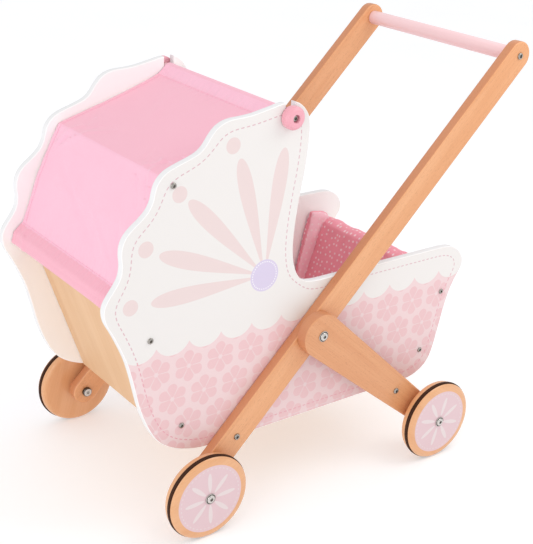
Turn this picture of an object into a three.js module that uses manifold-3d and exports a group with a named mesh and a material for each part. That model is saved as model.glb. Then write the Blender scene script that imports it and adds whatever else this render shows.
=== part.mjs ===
// Wooden doll's pram: two shaped side panels carrying a slatless cabin, a cloth hood,
// a pair of long handle bars crossed by short rear legs, and four turned wheels.
// Units are millimetres, +Z is up, +X points from the hood towards the handle.
// Lengths below are measured from a datum 3.6 mm ahead of the front axle and 3.6 mm above
// the ground; the whole group is then shifted so that the origin sits on the ground under
// the centre of the pram.
import * as THREE from 'three';
import Module from 'manifold-3d';

const wasm = await Module();
wasm.setup();

// ---------------------------------------------------------------- driving dimensions
const SHIFT_X = -183.4;          // datum to the middle of the pram
const SHIFT_Z = 3.6;             // ground to the datum
const GAP = 0.3;                 // running clearance between neighbouring pieces
const TYRE_SIDES = 36;

const PANEL = { inner: 117, thickness: 9 };
const BAR = { inner: 126.5, thickness: 13.5, width: 35, length: 638.47, angle: 44.957 };
const LEG = { inner: 140.4, thickness: 15, rTop: 26.5, rFoot: 17.5 };
const WHEEL = { radius: 52, rim: 51, width: 18.2, bore: 4.3, face: 43 };
const FRONT_AXLE = { x: 3.6, z: 48.4 };
const REAR_AXLE = { x: 344.4, z: 48.4 };
const PIVOT_ALONG_BAR = 223.6;   // front axle to pivot bolt, along the bar
const BAR_SCREW_ALONG = 72.5;    // front axle to the low screw, along the bar
const LEG_SCREW_ALONG = 165;     // pivot bolt to the leg screw, along the leg
const ROD = { radius: 9 };

const HEAD_BOARD = { thickness: 9, foot: [-0.3, 96.4], top: [-63.6, 277], half: 116.6 };
const FOOT_BOARD = { thickness: 9, foot: [339.2, 94.6], top: [385.4, 222], half: 116.6 };
const FLOOR = { x0: 6.5, x1: 333.5, z0: 94.5, z1: 106.5, half: 116.6 };

const TOP_BAR = { x: 120, z: 464.5, radius: 6 };
const ELBOW_BAR = { x: -25.4, z: 411.5, radius: 5 };
const LOWER_BAR = { x: -86, z: 290, radius: 5 };
const NOTCH = { half: 6.5, x: 120, z: 464.5 };
const KNOB = { radius: 13, thickness: 11.5 };

const HEAD_SCREWS = [[-51.9, 243.8], [-11.6, 128.8]];
const FOOT_SCREWS = [[378.3, 202.2], [350.7, 126.1]];

const MATTRESS = { x0: 12, x1: 328, half: 109.6, z0: 106.8, z1: 126.8, round: 8 };

// Side panel outline, from the bottom edge round the foot end, the cabin opening,
// the hood notch and the scalloped hood edge, back to the bottom edge.
const FOOT_END = [
  [335, 90], [346, 92.6], [356, 97.4], [363.8, 103.6], [369.3, 111], [373, 120], [376.3, 131.5],
  [380, 146.6], [386, 173.8], [389.6, 187], [393.8, 199.5], [398.5, 210], [404.2, 219.5],
  [409.4, 227.3], [411.8, 235.4], [410, 243.6], [404.8, 251.4], [396.4, 258.2], [386, 262.2],
  [374, 263.6],
];
const CABIN_SIDE = [
  [176, 263.6], [164, 264.6], [153.9, 267], [146.2, 272], [140.6, 280], [136.9, 289.6],
  [134.7, 299.4], [133.6, 315], [134.4, 333], [136.9, 356], [140.4, 379], [144.2, 401],
  [146.9, 424], [148, 444], [147.4, 455], [145.6, 463], [142, 469], [137.6, 473.8],
  [132.4, 477.6], [126.5, 480],
];
const HOOD_EDGE = [
  [113.5, 479.8], [107, 479.2], [98, 477.2], [86, 474.9], [73.4, 472.6], [60, 471.4], [45.7, 470.8],
  [36, 468.6], [27.6, 464.2], [20.4, 456.8], [12.6, 446.4], [5, 440.4], [-6, 436], [-20, 431.5],
  [-31.4, 427], [-39.2, 421.2], [-44.4, 414], [-47, 406], [-49.2, 397.4], [-54.4, 388.2],
  [-63.4, 379.8], [-73, 372.6], [-80.4, 364.8], [-84.6, 355.6], [-85.6, 345.4], [-84.8, 334.6],
  [-86.8, 323], [-92.8, 312.8], [-100.4, 302.8], [-105, 294.6], [-106.2, 286], [-103.8, 275],
  [-96.4, 261], [-88.2, 244], [-80.6, 226], [-74.8, 206.6], [-70, 187], [-65.4, 168],
  [-59.4, 150.5], [-51.8, 133.4], [-43, 119.4], [-32, 109], [-18, 101], [-2, 95.2], [13, 91.9],
  [30, 90.4],
];

// ---------------------------------------------------------------- finishes
const material = (colour, roughness, metalness = 0) =>
  new THREE.MeshStandardMaterial({ color: colour, roughness, metalness });

const BEECH = () => material(0xe6ac7c, 0.5);
const PLYWOOD = () => material(0xdcb68e, 0.6);
const WHITE_LACQUER = () => material(0xf4f0ec, 0.42);
const PINK_LACQUER = () => material(0xf2c4cb, 0.45);
const NICKEL = () => material(0xb9b7b3, 0.3, 0.9);
const RUBBER = () => material(0x2a211e, 0.8);
const PINK_COTTON = () => material(0xf6c1d3, 0.9);
const DOTTED_COTTON = () => material(0xd87b8d, 0.9);

// ---------------------------------------------------------------- geometry helpers
const group = new THREE.Group();
group.name = 'doll_pram';
const assembly = new THREE.Group();
assembly.position.set(SHIFT_X, 0, SHIFT_Z);
group.add(assembly);

function add(name, geometry, finish) {
  const mesh = new THREE.Mesh(geometry, finish);
  mesh.name = name;
  assembly.add(mesh);
  return mesh;
}

function toManifold(geometry) {
  const plain = geometry.index ? geometry.toNonIndexed() : geometry;
  const source = plain.attributes.position.array;
  const lookup = new Map();
  const points = [];
  const corners = [];
  for (let i = 0; i < source.length; i += 3) {
    const key = [0, 1, 2].map((k) => Math.round(source[i + k] * 1e4)).join(',');
    if (!lookup.has(key)) {
      lookup.set(key, points.length / 3);
      points.push(source[i], source[i + 1], source[i + 2]);
    }
    corners.push(lookup.get(key));
  }
  const faces = [];
  for (let i = 0; i < corners.length; i += 3) {
    const [a, b, c] = corners.slice(i, i + 3);
    if (a !== b && b !== c && c !== a) {
      faces.push(a, b, c);
    }
  }
  return new wasm.Manifold(new wasm.Mesh({
    numProp: 3,
    vertProperties: new Float32Array(points),
    triVerts: new Uint32Array(faces),
  }));
}

function fromManifold(solid) {
  const mesh = solid.getMesh();
  const geometry = new THREE.BufferGeometry();
  geometry.setAttribute('position', new THREE.BufferAttribute(new Float32Array(mesh.vertProperties), 3));
  geometry.setIndex(new THREE.BufferAttribute(new Uint32Array(mesh.triVerts), 1));
  geometry.computeVertexNormals();
  return geometry;
}

const along = (start, angle, distance) => [
  start[0] + Math.cos(angle) * distance,
  start[1] + Math.sin(angle) * distance,
];

// A revolved piece whose axis runs along Y; profile points are [radius, y].
// A flat of the polygon faces straight down, so that a wheel stands still on it.
function turned(profile, x, z, segments = 24) {
  const points = profile.map(([r, y]) => new THREE.Vector2(r, y));
  const geometry = new THREE.LatheGeometry(points, segments);
  geometry.rotateY(Math.PI / segments);
  geometry.translate(x, 0, z);
  return geometry;
}

// A flat piece drawn in the X-Z plane and given its thickness along Y.
function slab(shape, y0, y1, segments = 2) {
  const geometry = new THREE.ExtrudeGeometry(shape, {
    depth: y1 - y0,
    bevelEnabled: false,
    curveSegments: segments,
  });
  geometry.rotateX(Math.PI / 2);
  geometry.translate(0, y1, 0);
  return geometry;
}

function bore(shape, x, z, radius) {
  const hole = new THREE.Path();
  hole.absarc(x, z, radius, 0, Math.PI * 2, true);
  shape.holes.push(hole);
}

function polygon(points) {
  return new THREE.Shape(points.map(([x, z]) => new THREE.Vector2(x, z)));
}

function drill(geometry, holes) {
  let solid = toManifold(geometry);
  for (const { x, z, radius, y0, y1 } of holes) {
    const tool = toManifold(turned([[0, y0], [radius, y0], [radius, y1], [0, y1]], x, z, 12));
    solid = solid.subtract(tool);
  }
  return fromManifold(solid);
}

// Mirror a piece across the centre plane for the other side.
function mirrored(geometry) {
  const copy = geometry.clone();
  copy.scale(1, -1, 1);
  const index = copy.index;
  if (index) {
    for (let i = 0; i < index.count; i += 3) {
      const a = index.getX(i);
      index.setX(i, index.getX(i + 1));
      index.setX(i + 1, a);
    }
  } else {
    const array = copy.attributes.position.array;
    for (let i = 0; i < array.length; i += 9) {
      for (let k = 0; k < 3; k += 1) {
        const held = array[i + k];
        array[i + k] = array[i + 3 + k];
        array[i + 3 + k] = held;
      }
    }
    copy.deleteAttribute('uv');
  }
  copy.computeVertexNormals();
  return copy;
}

// The pieces are drawn on the +Y side; the left side of the pram is -Y.
function addPair(name, geometry, finish) {
  add(`${name}_left`, mirrored(geometry), finish());
  add(`${name}_right`, geometry, finish());
}

// ---------------------------------------------------------------- layout
const barAngle = THREE.MathUtils.degToRad(BAR.angle);
const axleFront = [FRONT_AXLE.x, FRONT_AXLE.z];
const handle = along(axleFront, barAngle, BAR.length);
const pivot = along(axleFront, barAngle, PIVOT_ALONG_BAR);
const barScrew = along(axleFront, barAngle, BAR_SCREW_ALONG);
const legAngle = Math.atan2(REAR_AXLE.z - pivot[1], REAR_AXLE.x - pivot[0]);
const legScrew = along(pivot, legAngle, LEG_SCREW_ALONG);
const panelOuter = PANEL.inner + PANEL.thickness;
const barOuter = BAR.inner + BAR.thickness;
const legOuter = LEG.inner + LEG.thickness;

// ---------------------------------------------------------------- cabin
function panelShape() {
  const shape = new THREE.Shape();
  const toVectors = (points) => points.map(([x, z]) => new THREE.Vector2(x, z));
  shape.moveTo(30, 90.4);
  shape.lineTo(335, 90);
  shape.splineThru(toVectors(FOOT_END.slice(1)));
  shape.lineTo(176, 263.6);
  shape.splineThru(toVectors(CABIN_SIDE.slice(1)));
  shape.lineTo(NOTCH.x + NOTCH.half, NOTCH.z);
  for (let i = 1; i < 10; i += 1) {
    const a = -Math.PI * (i / 10);
    shape.lineTo(NOTCH.x + NOTCH.half * Math.cos(a), NOTCH.z + NOTCH.half * Math.sin(a));
  }
  shape.lineTo(NOTCH.x - NOTCH.half, NOTCH.z);
  shape.lineTo(113.5, 479.8);
  shape.splineThru(toVectors(HOOD_EDGE.slice(1)));
  return shape;
}

function buildCabin() {
  const through = (x, z, radius) => ({ x, z, radius, y0: PANEL.inner - 2, y1: panelOuter + 2 });
  const panel = drill(slab(panelShape(), PANEL.inner, panelOuter, 1), [
    through(ELBOW_BAR.x, ELBOW_BAR.z, 1.9),
    ...HEAD_SCREWS.map(([x, z]) => through(x, z, 1.9)),
    ...FOOT_SCREWS.map(([x, z]) => through(x, z, 1.9)),
    through(pivot[0], pivot[1], 3.4),
    through(barScrew[0], barScrew[1], 2.4),
    through(legScrew[0], legScrew[1], 2.4),
    { x: LOWER_BAR.x, z: LOWER_BAR.z, radius: 5.3, y0: PANEL.inner - 2, y1: PANEL.inner + 5 },
  ]);
  addPair('side_panel', panel, WHITE_LACQUER);

  const board = ({ thickness, foot, top, half }, screws) => {
    const angle = Math.atan2(top[1] - foot[1], top[0] - foot[0]);
    const nx = (-Math.sin(angle) * thickness) / 2;
    const nz = (Math.cos(angle) * thickness) / 2;
    const outline = polygon([
      [foot[0] + nx, foot[1] + nz], [top[0] + nx, top[1] + nz],
      [top[0] - nx, top[1] - nz], [foot[0] - nx, foot[1] - nz],
    ]);
    const holes = screws.flatMap(([x, z]) => [
      { x, z, radius: 1.9, y0: half - 24, y1: half + 2 },
      { x, z, radius: 1.9, y0: -half - 2, y1: -half + 24 },
    ]);
    return drill(slab(outline, -half, half), holes);
  };
  add('head_board', board(HEAD_BOARD, HEAD_SCREWS), PLYWOOD());
  add('foot_board', board(FOOT_BOARD, FOOT_SCREWS), PLYWOOD());

  const floorHoles = [barScrew, legScrew].flatMap(([x, z]) => [
    { x, z, radius: 2.4, y0: FLOOR.half - 26, y1: FLOOR.half + 2 },
    { x, z, radius: 2.4, y0: -FLOOR.half - 2, y1: -FLOOR.half + 26 },
  ]);
  const floor = polygon([
    [FLOOR.x0, FLOOR.z0], [FLOOR.x1, FLOOR.z0], [FLOOR.x1 + 2, FLOOR.z1], [FLOOR.x0, FLOOR.z1],
  ]);
  add('floor_board', drill(slab(floor, -FLOOR.half, FLOOR.half), floorHoles), PLYWOOD());
}

// ---------------------------------------------------------------- hood
function dowel({ x, z, radius }, half, bevel, boreRadius, boreDepth) {
  const bottom = half - boreDepth;
  const end = [[radius - bevel, half], [boreRadius, half], [boreRadius, bottom], [0, bottom]];
  const far = end.map(([r, y]) => [r, -y]).reverse();
  const profile = [...far, [radius, -half + bevel], [radius, half - bevel], ...end];
  const plain = [
    [0, -half], [radius - bevel, -half], [radius, -half + bevel],
    [radius, half - bevel], [radius - bevel, half], [0, half],
  ];
  return turned(boreRadius > 0 ? profile : plain, x, z, 18);
}

function buildHood() {
  add('hood_elbow_bar', dowel(ELBOW_BAR, PANEL.inner - GAP, 1, 1.9, 24), BEECH());
  add('hood_lower_bar', dowel(LOWER_BAR, PANEL.inner + 4.5, 1, 0, 0), BEECH());
  add('hood_top_bar', dowel(TOP_BAR, panelOuter + 0.1, 1, 2.3, 26), PINK_LACQUER());

  const y0 = panelOuter + 0.4;
  const y1 = y0 + KNOB.thickness;
  const knob = turned([
    [2.3, y0], [KNOB.radius - 1.5, y0], [KNOB.radius - 0.3, y0 + 0.8], [KNOB.radius, y0 + 2.5],
    [KNOB.radius, y1 - 4], [KNOB.radius - 0.7, y1 - 1.7], [KNOB.radius - 2.6, y1 - 0.3],
    [KNOB.radius - 4.5, y1], [4.4, y1], [4.4, y1 - 4.5], [2.3, y1 - 4.5], [2.3, y0],
  ], TOP_BAR.x, TOP_BAR.z, 24);
  addPair('hood_knob', knob, PINK_LACQUER);
  addPair('hood_knob_screw', screw(TOP_BAR.x, TOP_BAR.z, y1 - 4.2, 3.8, 2.6, 1.9, 30), NICKEL);

  // Cloth strip stretched from the top bar over the elbow bar to the lower bar.
  const half = PANEL.inner - 1.6;
  const canopy = polygon([
    [105.4, 459.4], [88, 453.4], [-22, 419.2], [-27.4, 418.8], [-31.4, 416], [-33, 413],
    [-59, 361], [-81.2, 303.4], [-92.4, 297.2], [-96, 289], [-94.4, 281], [-90.4, 281.4],
    [-93.6, 288.8], [-90.6, 295.2], [-79.4, 301.8], [-57.4, 360.2], [-31.4, 412.4],
    [-29.9, 414.9], [-26.8, 417.2], [-22, 417.6], [88.6, 451.8], [106.2, 457.8],
  ]);
  add('canopy', slab(canopy, -half, half), PINK_COTTON());
  const hem = polygon([
    [112.9, 464.8], [105.6, 460.2], [107.6, 458], [114.8, 458.9], [120.4, 457.2], [126, 460.8],
    [127.4, 465.6], [125, 470.6], [119.6, 472.6], [114.4, 469.8],
  ]);
  const tunnel = new THREE.Path();
  tunnel.absarc(TOP_BAR.x, TOP_BAR.z, TOP_BAR.radius + 0.35, 0, Math.PI * 2, true);
  hem.holes.push(tunnel);
  add('canopy_hem', slab(hem, -half, half, 10), PINK_COTTON());
}

// A screw or bolt: head outside the face at y, shank running inwards.
function screw(x, z, y, headRadius, headHeight, shankRadius, length) {
  const socket = headRadius * 0.42;
  return turned([
    [0, y - length], [shankRadius, y - length], [shankRadius, y], [headRadius, y],
    [headRadius, y + headHeight * 0.55], [headRadius * 0.82, y + headHeight], [socket, y + headHeight],
    [socket, y + headHeight * 0.35], [0, y + headHeight * 0.35],
  ], x, z, 10);
}

// A through bolt with washer and head outside at y1 and a round nut inside at y0.
function throughBolt(x, z, y0, y1, shank, nut) {
  return turned([
    [0, y0 - 4], [1.8, y0 - 4], [1.8, y0 - 4.6], [nut - 1, y0 - 4.6], [nut, y0 - 3.8], [nut, y0],
    [shank, y0], [shank, y1], [6.6, y1], [6.6, y1 + 0.8], [5.2, y1 + 0.8], [5.2, y1 + 1.7],
    [4.4, y1 + 2.5], [2.5, y1 + 2.5], [2.5, y1 + 1.2], [0, y1 + 1.2],
  ], x, z, 16);
}

// ---------------------------------------------------------------- frame
// A plank with two rounded ends of different radius between two points.
function plankShape(a, b, ra, rb, bores) {
  const direction = Math.atan2(b[1] - a[1], b[0] - a[0]);
  const length = Math.hypot(b[0] - a[0], b[1] - a[1]);
  const flare = Math.acos((ra - rb) / length);
  const shape = new THREE.Shape();
  shape.absarc(a[0], a[1], ra, direction + flare, direction - flare + Math.PI * 2, false);
  shape.absarc(b[0], b[1], rb, direction - flare, direction + flare, false);
  for (const [x, z, radius] of bores) {
    bore(shape, x, z, radius);
  }
  return shape;
}

function buildFrame() {
  const r = BAR.width / 2;
  const bar = plankShape(axleFront, handle, r, r, [
    [...axleFront, 4.3], [...barScrew, 2.4], [...pivot, 3.4], [...handle, 2.4],
  ]);
  addPair('handle_bar', slab(bar, BAR.inner, barOuter, 14), BEECH);

  const rod = { x: handle[0], z: handle[1], radius: ROD.radius };
  add('handle_rod', dowel(rod, BAR.inner - GAP, 1, 2.4, 30), PINK_LACQUER());
  addPair('rod_screw', screw(...handle, barOuter + GAP, 4, 2.2, 2.1, 40), NICKEL);

  const leg = plankShape(pivot, [REAR_AXLE.x, REAR_AXLE.z], LEG.rTop, LEG.rFoot, [
    [...pivot, 3.4], [...legScrew, 2.4], [REAR_AXLE.x, REAR_AXLE.z, 4.3],
  ]);
  addPair('rear_leg', slab(leg, LEG.inner, legOuter, 14), BEECH);

  const blockY0 = panelOuter + GAP;
  const blockY1 = LEG.inner - GAP;
  addPair('leg_spacer', turned([
    [2.5, blockY0], [11, blockY0], [12, blockY0 + 1], [12, blockY1 - 1], [11, blockY1],
    [2.5, blockY1], [2.5, blockY0],
  ], ...legScrew, 16), BEECH);

  addPair('pivot_bolt', throughBolt(...pivot, PANEL.inner - GAP, legOuter + GAP, 3.1, 5.5), NICKEL);
  addPair('leg_screw', screw(...legScrew, legOuter + GAP, 3.8, 2.2, 2.1, 60), NICKEL);
  addPair('bar_screw', screw(...barScrew, barOuter + GAP, 3.8, 2.2, 2.1, 46), NICKEL);
  addPair('hood_screw', screw(ELBOW_BAR.x, ELBOW_BAR.z, panelOuter + GAP, 3.4, 1.4, 1.6, 30), NICKEL);
  HEAD_SCREWS.forEach(([x, z], i) => {
    const level = ['upper', 'lower'][i];
    addPair(`head_screw_${level}`, screw(x, z, panelOuter + GAP, 3.4, 1.4, 1.6, 30), NICKEL);
  });
  FOOT_SCREWS.forEach(([x, z], i) => {
    const level = ['upper', 'lower'][i];
    addPair(`foot_screw_${level}`, screw(x, z, panelOuter + GAP, 3.4, 1.4, 1.6, 30), NICKEL);
  });
}

// ---------------------------------------------------------------- wheels
function buildWheel(name, axle, mountInner, mountOuter) {
  const spacer0 = mountOuter + GAP;
  const spacer1 = spacer0 + 6;
  addPair(`${name}_spacer`, turned([
    [WHEEL.bore, spacer0], [8, spacer0], [8, spacer1], [WHEEL.bore, spacer1], [WHEEL.bore, spacer0],
  ], axle.x, axle.z, 16), BEECH);

  const y0 = spacer1 + GAP;
  const y1 = y0 + WHEEL.width;
  const groove0 = y0 + 8.8;
  const groove1 = y0 + 14.3;
  const floorRadius = WHEEL.rim - 4.2;
  const R = WHEEL.rim;
  const T = WHEEL.radius / Math.cos(Math.PI / TYRE_SIDES);
  addPair(`${name}_wheel`, turned([
    [WHEEL.bore, y0], [R - 6.5, y0], [R - 3.2, y0 + 0.8], [R - 1.2, y0 + 2.6], [R - 0.4, y0 + 5],
    [R - 0.3, groove0], [floorRadius, groove0], [floorRadius, groove1], [R - 0.3, groove1],
    [R, groove1 + 0.9], [R - 0.8, y1 - 1.9], [R - 2.6, y1 - 0.8], [R - 5.4, y1 - 0.15], [WHEEL.face, y1],
    [WHEEL.bore, y1], [WHEEL.bore, y0],
  ], axle.x, axle.z, 30), BEECH);
  addPair(`${name}_tyre`, turned([
    [floorRadius + GAP, groove0 + GAP], [T - 0.8, groove0 + GAP], [T, groove0 + 1.2],
    [T, groove1 - 1.2], [T - 0.8, groove1 - GAP], [floorRadius + GAP, groove1 - GAP],
    [floorRadius + GAP, groove0 + GAP],
  ], axle.x, axle.z, TYRE_SIDES), RUBBER);
  addPair(`${name}_axle`, throughBolt(axle.x, axle.z, mountInner - GAP, y1 + GAP, 4, 6), NICKEL);
}

// ---------------------------------------------------------------- bedding
function buildBedding() {
  const { x0, x1, half, z0, z1, round } = MATTRESS;
  const section = polygon([
    [x0 + 3, z0], [x1 - 3, z0], [x1, z0 + 3], [x1 + 2, z1 - 6], [x1 - round / 2, z1 - 1], [x1 - 14, z1],
    [x0 + 14, z1], [x0 + 3, z1 - 2], [x0, z1 - 7], [x0, z0 + 4],
  ]);
  add('mattress', slab(section, -half, half), DOTTED_COTTON());

  // Quilted liner: a pad hooked over the foot board with a short wing along each panel.
  const half2 = PANEL.inner - 0.6;
  const pad = toManifold(slab(polygon([
    [329.8, 108.5], [338.8, 108.5], [377.9, 216.4], [380.6, 224.5], [390.3, 221.1], [389, 216.8],
    [392.6, 215.6], [395.2, 220.8], [393.6, 225.6], [388, 229.6], [381, 230.6], [374.4, 228.4],
    [371.4, 223.6],
  ]), -half2, half2));
  const wing = polygon([
    [324.5, 112], [336, 112], [376, 220], [386, 229.2], [373.7, 235], [354.6, 239.3],
    [334.6, 158.4],
  ]);
  const wingRight = toManifold(slab(wing, half2 - 6, half2));
  const wingLeft = toManifold(slab(wing, -half2, -half2 + 6));
  add('foot_liner', fromManifold(pad.add(wingRight).add(wingLeft)), DOTTED_COTTON());
}

buildCabin();
buildHood();
buildFrame();
buildWheel('front', FRONT_AXLE, BAR.inner, barOuter);
buildWheel('rear', REAR_AXLE, LEG.inner, legOuter);
buildBedding();

export default group;
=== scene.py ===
"""Finished look of a wooden doll's pram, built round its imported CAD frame.

Lengths are worked in millimetres from a datum 3.6 mm ahead of the front axle and 3.6 mm
above the ground: x runs towards the handle, y across the pram (the left side is negative)
and z up. They become metres in the CAD frame when a mesh is made, and every finished piece
has its object at the origin.
"""

import logging  # noqa: E402
import math  # noqa: E402
from dataclasses import dataclass, field  # noqa: E402
from enum import Enum  # noqa: E402
from typing import Any, Callable, Iterable, Sequence  # noqa: E402

import bmesh  # noqa: E402
import bpy  # noqa: E402
import numpy as np  # noqa: E402
from mathutils import Matrix, Vector, noise  # noqa: E402


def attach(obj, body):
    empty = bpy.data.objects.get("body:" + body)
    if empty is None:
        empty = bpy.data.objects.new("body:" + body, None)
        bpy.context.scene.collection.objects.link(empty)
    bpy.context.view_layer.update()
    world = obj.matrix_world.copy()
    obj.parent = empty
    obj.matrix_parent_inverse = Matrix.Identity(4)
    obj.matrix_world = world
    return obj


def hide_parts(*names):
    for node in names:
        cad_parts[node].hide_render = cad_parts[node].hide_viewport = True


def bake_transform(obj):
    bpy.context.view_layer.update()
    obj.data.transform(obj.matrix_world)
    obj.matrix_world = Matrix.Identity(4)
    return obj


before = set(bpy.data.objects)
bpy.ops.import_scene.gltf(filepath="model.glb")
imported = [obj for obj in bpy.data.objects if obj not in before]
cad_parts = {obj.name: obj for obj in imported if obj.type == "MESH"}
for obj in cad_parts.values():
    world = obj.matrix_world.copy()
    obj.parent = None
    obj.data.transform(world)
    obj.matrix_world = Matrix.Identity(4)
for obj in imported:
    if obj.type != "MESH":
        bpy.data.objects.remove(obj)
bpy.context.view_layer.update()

LOG = logging.getLogger("pram")
DATUM = (-183.4, 0.0, 3.6)
MM = 0.001
FULL_TURN = 2 * math.pi
# The play between neighbouring pieces, in mm.
GAP = 0.3

Faces = Sequence[Sequence[int]]
Limit = Callable[[np.ndarray], np.ndarray]


class Side(Enum):
    """The two sides of the pram, by the sign of y."""

    LEFT = -1
    RIGHT = 1

    @property
    def word(self) -> str:
        """The side's name as it stands in a piece's name."""
        return self.name.lower()


class Body(Enum):
    """The moving bodies of the CAD frame."""

    CHASSIS = "chassis"
    HOOD_BAR = "hood_bar"
    FRONT_LEFT = "front_left"
    FRONT_RIGHT = "front_right"
    REAR_LEFT = "rear_left"
    REAR_RIGHT = "rear_right"


# ------------------------------------------------------------------ node trees


class Tree:
    """A node tree that is filled one node at a time."""

    def __init__(self, tree: bpy.types.NodeTree) -> None:
        """Empties the tree.

        Args:
            tree: the tree to fill.
        """
        self.tree = tree
        tree.nodes.clear()

    def add(
        self, kind: str, settings: dict[str, Any] | None = None, inputs: dict[Any, Any] | None = None
    ) -> bpy.types.Node:
        """Adds a node.

        Args:
            kind: the node's type.
            settings: its properties, with a ramp's stops under "stops".
            inputs: values or links, by socket name or number.

        Returns:
            The new node.
        """
        node = self.tree.nodes.new(kind)
        for key, value in (settings or {}).items():
            if key == "stops":
                self._set_stops(node.color_ramp, value)
            else:
                setattr(node, key, value)
        for key, value in (inputs or {}).items():
            self.feed(node.inputs[key], value)
        return node

    @staticmethod
    def _set_stops(ramp: bpy.types.ColorRamp, stops: Sequence[tuple[float, str]]) -> None:
        """Gives a colour ramp its stops.

        Args:
            ramp: the ramp.
            stops: position and colour of each stop.
        """
        while len(ramp.elements) < len(stops):
            ramp.elements.new(1.0)
        for element, (position, code) in zip(ramp.elements, stops):
            element.position = position
            element.color = colour(code)

    def feed(self, socket: bpy.types.NodeSocket, value: Any) -> None:
        """Links a socket, or sets its value.

        Args:
            socket: the input.
            value: a Sock or a node socket to link, or a plain value.
        """
        if isinstance(value, Sock):
            value = value.socket
        if isinstance(value, bpy.types.NodeSocket):
            self.tree.links.new(value, socket)
        else:
            socket.default_value = value


class Sock:
    """A number in a shader, on which Python's operators add Math nodes."""

    def __init__(self, shade: Tree, socket: bpy.types.NodeSocket) -> None:
        """Wraps an output socket of a node in the shade's tree."""
        self.shade = shade
        self.socket = socket

    def _math(self, operation: str, *values: Any) -> "Sock":
        """Adds a Math node.

        Args:
            operation: the node's operation.
            values: its inputs, in order.

        Returns:
            The node's result.
        """
        node = self.shade.add("ShaderNodeMath", {"operation": operation}, dict(enumerate(values)))
        return Sock(self.shade, node.outputs[0])

    def __add__(self, other: Any) -> "Sock":
        """Adds."""
        return self._math("ADD", self, other)

    def __radd__(self, other: Any) -> "Sock":
        """Adds."""
        return self._math("ADD", other, self)

    def __sub__(self, other: Any) -> "Sock":
        """Subtracts."""
        return self._math("SUBTRACT", self, other)

    def __rsub__(self, other: Any) -> "Sock":
        """Subtracts from the other."""
        return self._math("SUBTRACT", other, self)

    def __mul__(self, other: Any) -> "Sock":
        """Multiplies."""
        return self._math("MULTIPLY", self, other)

    def __rmul__(self, other: Any) -> "Sock":
        """Multiplies."""
        return self._math("MULTIPLY", other, self)

    def __truediv__(self, other: Any) -> "Sock":
        """Divides."""
        return self._math("DIVIDE", self, other)

    def __pow__(self, other: Any) -> "Sock":
        """Raises to a power."""
        return self._math("POWER", self, other)

    def __abs__(self) -> "Sock":
        """Drops the sign."""
        return self._math("ABSOLUTE", self)

    def __neg__(self) -> "Sock":
        """Turns the sign round."""
        return self._math("MULTIPLY", self, -1.0)

    def __lt__(self, other: Any) -> "Sock":
        """1 where smaller."""
        return self._math("LESS_THAN", self, other)

    def __gt__(self, other: Any) -> "Sock":
        """1 where larger."""
        return self._math("GREATER_THAN", self, other)

    def least(self, other: Any) -> "Sock":
        """The smaller of the two."""
        return self._math("MINIMUM", self, other)

    def most(self, other: Any) -> "Sock":
        """The larger of the two."""
        return self._math("MAXIMUM", self, other)

    def fraction(self) -> "Sock":
        """What is left above the whole number."""
        return self._math("FRACT", self)

    def root(self) -> "Sock":
        """The square root."""
        return self._math("SQRT", self)

    def sine(self) -> "Sock":
        """The sine of an angle in radians."""
        return self._math("SINE", self)

    def cosine(self) -> "Sock":
        """The cosine of an angle in radians."""
        return self._math("COSINE", self)

    def angle_to(self, other: Any) -> "Sock":
        """The angle of the point (other, self)."""
        return self._math("ARCTAN2", self, other)


def colour(code: str) -> tuple[float, float, float, float]:
    """Turns a #RRGGBB screen colour into a linear one."""
    parts = [int(code[i : i + 2], 16) / 255 for i in (1, 3, 5)]
    red, green, blue = (c / 12.92 if c <= 0.04045 else ((c + 0.055) / 1.055) ** 2.4 for c in parts)
    return red, green, blue, 1.0


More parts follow.
